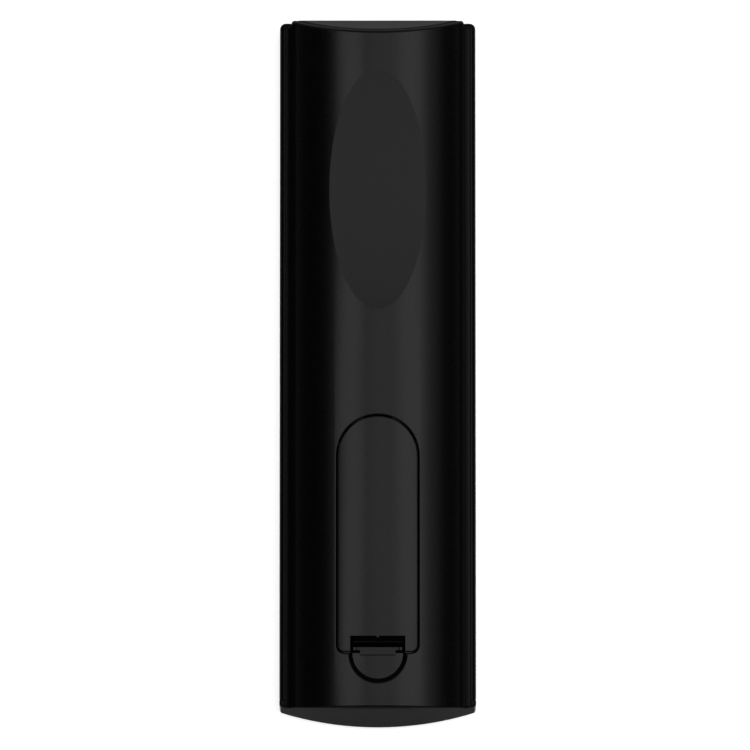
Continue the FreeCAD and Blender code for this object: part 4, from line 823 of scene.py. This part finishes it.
def letter(name):
    """Printed figure of a key, read from the front."""
    middle = key_frame(name)[0]
    curve = bpy.data.curves.new("figure", "FONT")
    curve.body = LETTERS[name]
    curve.size = LETTER_SIZE
    curve.extrude = (INK_BACK - INK_FRONT) / 2
    figure = bpy.data.objects.new("figure", curve)
    bpy.context.collection.objects.link(figure)
    bpy.context.view_layer.update()
    mesh = bpy.data.meshes.new_from_object(figure)
    bpy.data.objects.remove(figure)
    points = [v.co for v in mesh.vertices]
    u = (min(p.x for p in points) + max(p.x for p in points)) / 2
    v = (min(p.y for p in points) + max(p.y for p in points)) / 2
    depth = (INK_FRONT + INK_BACK) / 2
    for point in points:
        point.x, point.y, point.z = middle[0] - (point.x - u), middle[1] + point.y - v, depth - point.z
    whole = bpy.data.objects.new(f"symbol_{name}", mesh)
    bpy.context.collection.objects.link(whole)
    return whole


# Cells

# Each row is a distance from the flat end and a radius, in millimetres
CELL_PROFILE = ((0, 3.6), (0.3, 3.85), (0.3, 4.25), (0.05, 4.5), (0.1, 4.85), (0.45, 5.15), (0.9, 5.18),
                (1.0, 5.25), (22, 5.25), (42.0, 5.25), (42.1, 5.18), (42.7, 5.1), (43.1, 4.8), (43.3, 4.3),
                (43.3, 2.5), (43.2, 2.1), (43.3, 1.9), (44.2, 1.86), (44.42, 1.7), (44.5, 1.4))


def cell_ends(name):
    """Return where a cell's flat end and its nub lie along the remote."""
    low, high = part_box(name)
    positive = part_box("contact_head_positive")
    same_side = (positive[0].x + positive[1].x) * (low.x + high.x) > 0
    return (low.y, high.y) if same_side else (high.y, low.y)


def battery_cell(name):
    """Fine mesh of a cell with its crimped ends and its nub."""
    low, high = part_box(name)
    centre = ((low.x + high.x) / 2, (low.z + high.z) / 2)
    flat, nub = cell_ends(name)
    way = math.copysign(MM, nub - flat)
    rings = []
    for distance, radius in CELL_PROFILE:
        ring = arc_points(centre, radius * MM, 0, 360, CIRCLE_STEPS)[:-1]
        rings.append([(x, flat + way * distance, z) for x, z in ring])
    cell = stack(f"{name}_fine", rings)
    smooth(cell, CELL_CREASE)
    return cell


# Studio


def camera():
    """Place the camera almost straight above the remote, a little towards its foot end."""
    data = bpy.data.cameras.new("camera")
    data.lens = LENS
    data.sensor_width = SENSOR
    data.clip_start = 0.05
    data.clip_end = 20
    cam = bpy.data.objects.new("camera", data)
    back = Vector((0, -math.cos(CAMERA_TILT), math.sin(CAMERA_TILT)))
    middle = FRAME_PIXELS / 2
    aim = Vector((-(CENTRE_PIXEL[0] - middle) * PIXEL, (CENTRE_PIXEL[1] - middle) * PIXEL, AIM_HEIGHT))
    cam.location = aim + back * CAMERA_DISTANCE
    cam.rotation_mode = "QUATERNION"
    cam.rotation_quaternion = (-back).to_track_quat("-Z", "Y")
    bpy.context.collection.objects.link(cam)
    bpy.context.scene.camera = cam


def lamp(name, angle, width, power):
    """Add a long soft lamp over the remote, leaning by an angle from straight above."""
    turn = math.radians(angle)
    data = bpy.data.lights.new(name, "AREA")
    data.shape = "RECTANGLE"
    data.size, data.size_y = width, LAMP_LENGTH
    data.energy = power
    light = bpy.data.objects.new(name, data)
    light.location = (LAMP_DISTANCE * math.sin(turn), LAMP_SHIFT, LAMP_DISTANCE * math.cos(turn))
    light.rotation_euler = (0, turn, 0)
    bpy.context.collection.objects.link(light)


def new_material(name):
    """Start a material and return it with its node tree and its surface shader."""
    material = bpy.data.materials.new(name)
    material.use_nodes = True
    tree = material.node_tree
    return material, tree, tree.nodes["Principled BSDF"]


def calculate(tree, operation, *values):
    """Add a calculation on sockets or numbers and return its result."""
    node = tree.nodes.new("ShaderNodeMath")
    node.operation = operation
    for entry, value in zip(node.inputs, values):
        if isinstance(value, (int, float)):
            entry.default_value = value
        else:
            tree.links.new(value, entry)
    return node.outputs[0]


def ramp_between(tree, source, edges):
    """Return a socket that rises from 0 to 1 between two values of a source."""
    span = tree.nodes.new("ShaderNodeMapRange")
    span.interpolation_type = "SMOOTHSTEP"
    span.inputs["From Min"].default_value, span.inputs["From Max"].default_value = edges
    tree.links.new(source, span.inputs["Value"])
    return span.outputs["Result"]


def shown_rays(tree):
    """Return a socket for the rays of the camera and one for those of gloss and clear pieces."""
    path = tree.nodes.new("ShaderNodeLightPath").outputs
    mirrored = calculate(tree, "MAXIMUM", path["Is Glossy Ray"], path["Is Transmission Ray"])
    return path["Is Camera Ray"], mirrored


def floor():
    """White floor that keeps the remote's soft shadow."""
    half, height = FLOOR_HALF, -FLOOR_DROP
    corners = [(-half, -half, height), (half, -half, height), (half, half, height), (-half, half, height)]
    plane = add_mesh("floor", corners, [(0, 1, 2, 3)])
    material, tree, shader = new_material("floor_white")
    shader.inputs["Base Color"].default_value = FLOOR_COLOR
    shader.inputs["Roughness"].default_value = FLOOR_ROUGHNESS
    shader.inputs["Specular IOR Level"].default_value = 0.0
    shader.inputs["Emission Color"].default_value = WHITE
    direct, mirrored = shown_rays(tree)
    shown = calculate(tree, "MAXIMUM", direct, mirrored)
    tree.links.new(calculate(tree, "MULTIPLY", shown, FLOOR_GLOW), shader.inputs["Emission Strength"])
    plane.data.materials.append(material)


def world():
    """Dim surroundings, white to the camera, and in gloss white at the low ends and dark elsewhere."""
    place = bpy.data.worlds.new("surroundings")
    place.use_nodes = True
    tree = place.node_tree
    way = tree.nodes.new("ShaderNodeSeparateXYZ")
    tree.links.new(tree.nodes.new("ShaderNodeTexCoord").outputs["Generated"], way.inputs["Vector"])
    ends = ramp_between(tree, calculate(tree, "ABSOLUTE", way.outputs["Y"]), SCREEN_EDGE)
    low = ramp_between(tree, way.outputs["Z"], SKY_EDGE)
    direct, mirrored = shown_rays(tree)
    gloss = calculate(tree, "MULTIPLY", mirrored, calculate(tree, "MULTIPLY", ends, low))
    shown = calculate(tree, "MAXIMUM", direct, calculate(tree, "MULTIPLY", gloss, WORLD_GLOSS))
    back = tree.nodes["Background"]
    back.inputs["Color"].default_value = WHITE
    tree.links.new(calculate(tree, "MAXIMUM", shown, WORLD_LIGHT), back.inputs["Strength"])
    bpy.context.scene.world = place


# Materials

# Size, depth and strength of a bump
METAL_GRAIN = (0.15 * MM, 0.01 * MM, 0.4)
CLEAR_GRAIN = (0.8 * MM, 0.01 * MM, 0.2)
BOARD_GRAIN = (0.4 * MM, 0.02 * MM, 0.3)
FOIL_GRAIN = (0.5 * MM, 0.01 * MM, 0.2)
NOISE_DETAIL = 3.0

# How far the roughness varies
PLASTIC_SPREAD = 0.05
METAL_SPREAD = 0.08
CLEAR_ROUGHNESS = (0.04, 0.12)
BOARD_ROUGHNESS = (0.25, 0.4)
FOIL_ROUGHNESS = (0.22, 0.34)

# The shares of its colour that a surface varies between, and the values of the noise at which it reaches them
PLASTIC_SHARES = (0.85, 1.15)
METAL_SHARE = 0.9
CLEAR_SHARE = 1.1
TINT_EDGES = (0.3, 0.7)

# Copper tracks under the board's lacquer
TRACKS = {
    "Scale": 1.0,
    "Brick Width": 9 * MM,
    "Row Height": 2.5 * MM,
    "Mortar Size": 0.25 * MM,
    "Color1": (0.012, 0.11, 0.045, 1),
    "Color2": (0.016, 0.14, 0.055, 1),
    "Mortar": (0.05, 0.26, 0.1, 1),
}
BOARD_SPECULAR = 0.5

# Colours of a cell, the share of metal in its foil, and where its stripes start along it
CELL_METAL = (0.62, 0.61, 0.58)
CELL_JACKET = (0.30, 0.32, 0.35)
CELL_BAND = (0.05, 0.055, 0.065)
CELL_BARE_SHINE = (1, 1, 1)
CELL_FOIL_SHINE = (0.3, 0.3, 0.3)
CELL_STARTS = (0, 0.021, 0.76, 0.945)

# Colour, roughness, specular level and strength of the grain of each plastic
SHELL_FINISH = ((0.0004, 0.0004, 0.0004), 0.26, 0.112, 0.3)
# Painted shade: the shell's plastic made rougher and with a weaker reflection, darkening the foot end faces
END_SHADE_FINISH = ((0.0006, 0.0006, 0.0006), 0.7, 0.042, 0.3)
# Painted shade: a copy of the shell's plastic with a weak, rough reflection, for the faces deep in the door's
# opening, the door's deep faces and the head end faces
PAINTED_SHADE_FINISH = ((0.0006, 0.0006, 0.0006), 0.8, 0.03, 0.3)
# Painted shade: the shell's plastic with a weaker reflection, darkening the ledges, side walls and front
# cover
RIM_SHADE_FINISH = ((0.0004, 0.0004, 0.0004), 0.26, 0.042, 0.3)
WINDOW_FINISH = ((0.0008, 0.0008, 0.0006), 0.6, 0.06, 0.05)
INK_FINISH = ((0.75, 0.75, 0.73), 0.5, 0.3, 0.1)
PLASTICS = {
    "black_shell": SHELL_FINISH,
    "window_smoke": WINDOW_FINISH,
    "face_plate": ((0.006, 0.006, 0.0063), 0.35, 0.3, 0.15),
    "key_cap": ((0.03, 0.03, 0.032), 0.5, 0.35, 0.2),
    "key_red": ((0.5, 0.02, 0.02), 0.45, 0.4, 0.15),
    "key_green": ((0.02, 0.3, 0.06), 0.45, 0.4, 0.15),
    "key_yellow": ((0.75, 0.5, 0.02), 0.45, 0.4, 0.15),
    "key_blue": ((0.02, 0.08, 0.5), 0.45, 0.4, 0.15),
    "mat_rubber": ((0.09, 0.09, 0.1), 0.75, 0.3, 0.3),
    "chip_black": ((0.02, 0.02, 0.02), 0.6, 0.4, 0.4),
    "can_sleeve": ((0.03, 0.03, 0.06), 0.3, 0.5, 0.1),
    "led_white": ((0.8, 0.8, 0.74), 0.3, 0.5, 0.1),
}

# Colour and roughness of each metal, and colour and clearness of each clear piece
METALS = {"steel": ((0.6, 0.6, 0.62), 0.3), "nickel": ((0.7, 0.68, 0.64), 0.25)}
CLEARS = {"led_clear": ((0.85, 0.87, 0.95), 0.9), "lens_clear": ((0.8, 0.12, 0.1), 0.7)}


def grainy(tree, size, depth, strength):
    """Add a fine bump to the surface shader and return the socket of its noise."""
    shader = tree.nodes["Principled BSDF"]
    place = tree.nodes.new("ShaderNodeTexCoord")
    noise = tree.nodes.new("ShaderNodeTexNoise")
    noise.inputs["Scale"].default_value = 1 / size
    noise.inputs["Detail"].default_value = NOISE_DETAIL
    tree.links.new(place.outputs["Object"], noise.inputs["Vector"])
    bump = tree.nodes.new("ShaderNodeBump")
    bump.inputs["Strength"].default_value = strength
    bump.inputs["Distance"].default_value = depth
    tree.links.new(noise.outputs["Fac"], bump.inputs["Height"])
    tree.links.new(bump.outputs["Normal"], shader.inputs["Normal"])
    return noise.outputs["Fac"]


def spread(tree, source, low, high):
    """Let the surface's roughness follow a texture between two values."""
    span = tree.nodes.new("ShaderNodeMapRange")
    span.inputs["To Min"].default_value = low
    span.inputs["To Max"].default_value = high
    tree.links.new(source, span.inputs["Value"])
    tree.links.new(span.outputs["Result"], tree.nodes["Principled BSDF"].inputs["Roughness"])


def tint(tree, source, *colors):
    """Colour the surface between two colours by a texture."""
    ramp = tree.nodes.new("ShaderNodeValToRGB")
    for step, position, color in zip(ramp.color_ramp.elements, TINT_EDGES, colors):
        step.position = position
        step.color = (*color, 1)
    tree.links.new(source, ramp.inputs["Fac"])
    tree.links.new(ramp.outputs["Color"], tree.nodes["Principled BSDF"].inputs["Base Color"])


def plastic(name, color, roughness, specular, grain):
    """Moulded plastic with a fine texture whose gloss varies a little."""
    material, tree, shader = new_material(name)
    shader.inputs["Specular IOR Level"].default_value = specular
    noise = grainy(tree, GRAIN_SIZE, GRAIN_DEPTH, grain)
    spread(tree, noise, roughness - PLASTIC_SPREAD, roughness + PLASTIC_SPREAD)
    tint(tree, noise, *([c * share for c in color] for share in PLASTIC_SHARES))
    return material


def metal(name, color, roughness):
    """Plated sheet with a fine drawn grain."""
    material, tree, shader = new_material(name)
    shader.inputs["Metallic"].default_value = 1.0
    noise = grainy(tree, *METAL_GRAIN)
    spread(tree, noise, roughness - METAL_SPREAD, roughness + METAL_SPREAD)
    tint(tree, noise, [c * METAL_SHARE for c in color], color)
    return material


def clear(name, color, clearness):
    """Clear moulded resin with faint flow marks."""
    material, tree, shader = new_material(name)
    shader.inputs["Transmission Weight"].default_value = clearness
    noise = grainy(tree, *CLEAR_GRAIN)
    spread(tree, noise, *CLEAR_ROUGHNESS)
    tint(tree, noise, color, [min(c * CLEAR_SHARE, 1) for c in color])
    return material


def lacquered_board(name):
    """Green lacquer over copper tracks, with a faint weave of the glass cloth."""
    material, tree, shader = new_material(name)
    shader.inputs["Specular IOR Level"].default_value = BOARD_SPECULAR
    spread(tree, grainy(tree, *BOARD_GRAIN), *BOARD_ROUGHNESS)
    tracks = tree.nodes.new("ShaderNodeTexBrick")
    for entry, value in TRACKS.items():
        tracks.inputs[entry].default_value = value
    tree.links.new(tree.nodes["Texture Coordinate"].outputs["Object"], tracks.inputs["Vector"])
    tree.links.new(tracks.outputs["Color"], shader.inputs["Base Color"])
    return material


def stepped(tree, source, rows):
    """Add a ramp of flat colours, each from its position on."""
    ramp = tree.nodes.new("ShaderNodeValToRGB")
    ramp.color_ramp.interpolation = "CONSTANT"
    steps = ramp.color_ramp.elements
    while len(steps) < len(rows):
        steps.new(1.0)
    for step, (position, color) in zip(steps, rows):
        step.position = position
        step.color = (*color, 1)
    tree.links.new(source, ramp.inputs["Fac"])
    return ramp.outputs["Color"]


def cell_wrap(name):
    """Plain foil jacket with a darker band at the nub's end, between bare metal ends."""
    material, tree, shader = new_material(f"{name}_jacket")
    spread(tree, grainy(tree, *FOIL_GRAIN), *FOIL_ROUGHNESS)
    axis = tree.nodes.new("ShaderNodeSeparateXYZ")
    tree.links.new(tree.nodes["Texture Coordinate"].outputs["Object"], axis.inputs["Vector"])
    along = tree.nodes.new("ShaderNodeMapRange")
    along.inputs["From Min"].default_value, along.inputs["From Max"].default_value = cell_ends(name)
    tree.links.new(axis.outputs["Y"], along.inputs["Value"])
    for entry, stripes in (
        ("Base Color", (CELL_METAL, CELL_JACKET, CELL_BAND, CELL_METAL)),
        ("Metallic", (CELL_BARE_SHINE, CELL_FOIL_SHINE, CELL_FOIL_SHINE, CELL_BARE_SHINE)),
    ):
        rows = list(zip(CELL_STARTS, stripes))
        tree.links.new(stepped(tree, along.outputs["Result"], rows), shader.inputs[entry])
    return material


def dress(thing, *materials):
    """Give an object its materials."""
    thing.data.materials.clear()
    for material in materials:
        thing.data.materials.append(material)


def refinish(thing, index, test):
    """Give another of an object's materials to the faces that pass a test."""
    for face in thing.data.polygons:
        if test(face.center, face.normal):
            face.material_index = index


# Masks of painted shade: faces this deep in the opening and on the door get the copy of the plastic with a
# weak reflection
def below_surface(place):
    """Tell whether a place lies deeper under the barrel than the thumb recess."""
    return place.z < barrel_height(place.x) - PAINTED_SHADE_DEPTH


def in_opening(place):
    """Tell whether a place lies in or under the door's opening."""
    along = OPENING_FOOT - 2 * POCKET_DEPTH < place.y < OPENING_HEAD - TONGUE_ROOT[0] + TONGUE_TIP
    return along and abs(place.x) < OPENING_HALF


def even_shading(thing):
    """Shade flat faces flat beside their softened edges."""
    modifier = thing.modifiers.new("shading", "WEIGHTED_NORMAL")
    modifier.keep_sharp = True


def materials():
    """Return a material for each slot of the record."""
    finish = {name: plastic(name, *values) for name, values in PLASTICS.items()}
    finish["board"] = lacquered_board("board")
    finish.update({name: metal(name, *values) for name, values in METALS.items()})
    finish.update({name: clear(name, *values) for name, values in CLEARS.items()})
    return finish


# The remote


def stand_in(piece, node, body, slot, *finish):
    """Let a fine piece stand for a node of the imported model."""
    dress(piece, *finish)
    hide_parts(node)
    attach(piece, body)


def remote():
    """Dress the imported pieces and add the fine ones."""
    finish = materials()
    slots = {row["node"]: row["material_slot"] for row in frame["record"]["subparts"]}
    # Copy of the shell's plastic that paints shade on the foot end faces
    ends = plastic("black_shell_ends_painted_shade", *END_SHADE_FINISH)
    # Copy of the shell's plastic that paints shade in the opening, on the door's deep faces and on the head
    # end faces
    inside = plastic("black_shell_painted_shade", *PAINTED_SHADE_FINISH)
    # Copy of the shell's plastic that paints shade on the ledges, side walls and front cover
    rim_shade = plastic("black_shell_rim_painted_shade", *RIM_SHADE_FINISH)
    ink = plastic("ink", *INK_FINISH)
    keys = [name for name in NODES if name.startswith("key_")]
    cells = ("battery_cell_left", "battery_cell_right")
    # The front cover gets the rim's painted-shade plastic
    for name, node in NODES.items():
        if name not in cells:
            dress(node, rim_shade if name == "front_cover" else finish[slots[name]])
    cover = rear_cover()
    stand_in(cover, "rear_cover", "root", slots["rear_cover"], finish["black_shell"], ends, inside, rim_shade)
    # Painted shade on the ledges and side walls
    refinish(cover, COVER_RIM_SHADE, lambda place, way: abs(place.x) > BARREL_HALF)
    # Painted shade on the foot end faces
    refinish(cover, COVER_ENDS_SHADE, lambda place, way: place.y < END_ZONE - HALF_LENGTH and way.y < -END_FACING)
    # Painted shade on the head end faces and deep in the door's opening
    refinish(cover, COVER_PAINTED_SHADE, lambda place, way: place.y > HALF_LENGTH - END_ZONE and way.y > END_FACING)
    refinish(cover, COVER_PAINTED_SHADE, lambda place, way: below_surface(place) and in_opening(place))
    door = battery_door()
    stand_in(door, "battery_door", "battery_door", slots["battery_door"], finish["black_shell"], inside)
    # Painted shade on the door's faces deeper than the thumb recess
    refinish(door, DOOR_PAINTED_SHADE, lambda place, way: below_surface(place))
    for name in cells:
        stand_in(battery_cell(name), name, "root", slots[name], cell_wrap(name))
    plate = faceplate(keys)
    stand_in(plate, "faceplate", "root", slots["faceplate"], finish["face_plate"])
    even_shading(plate)
    for name in keys:
        cap = key_cap(name)
        stand_in(cap, name, name, slots[name], finish[slots[name]])
        even_shading(cap)
        if name not in COLOUR_KEYS:
            mark = letter(name) if name in LETTERS else symbol(name)
            dress(mark, ink)
            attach(mark, name)


bpy.context.scene.view_settings.view_transform = "Standard"
camera()
floor()
world()
for row in LAMPS:
    lamp(*row)
remote()
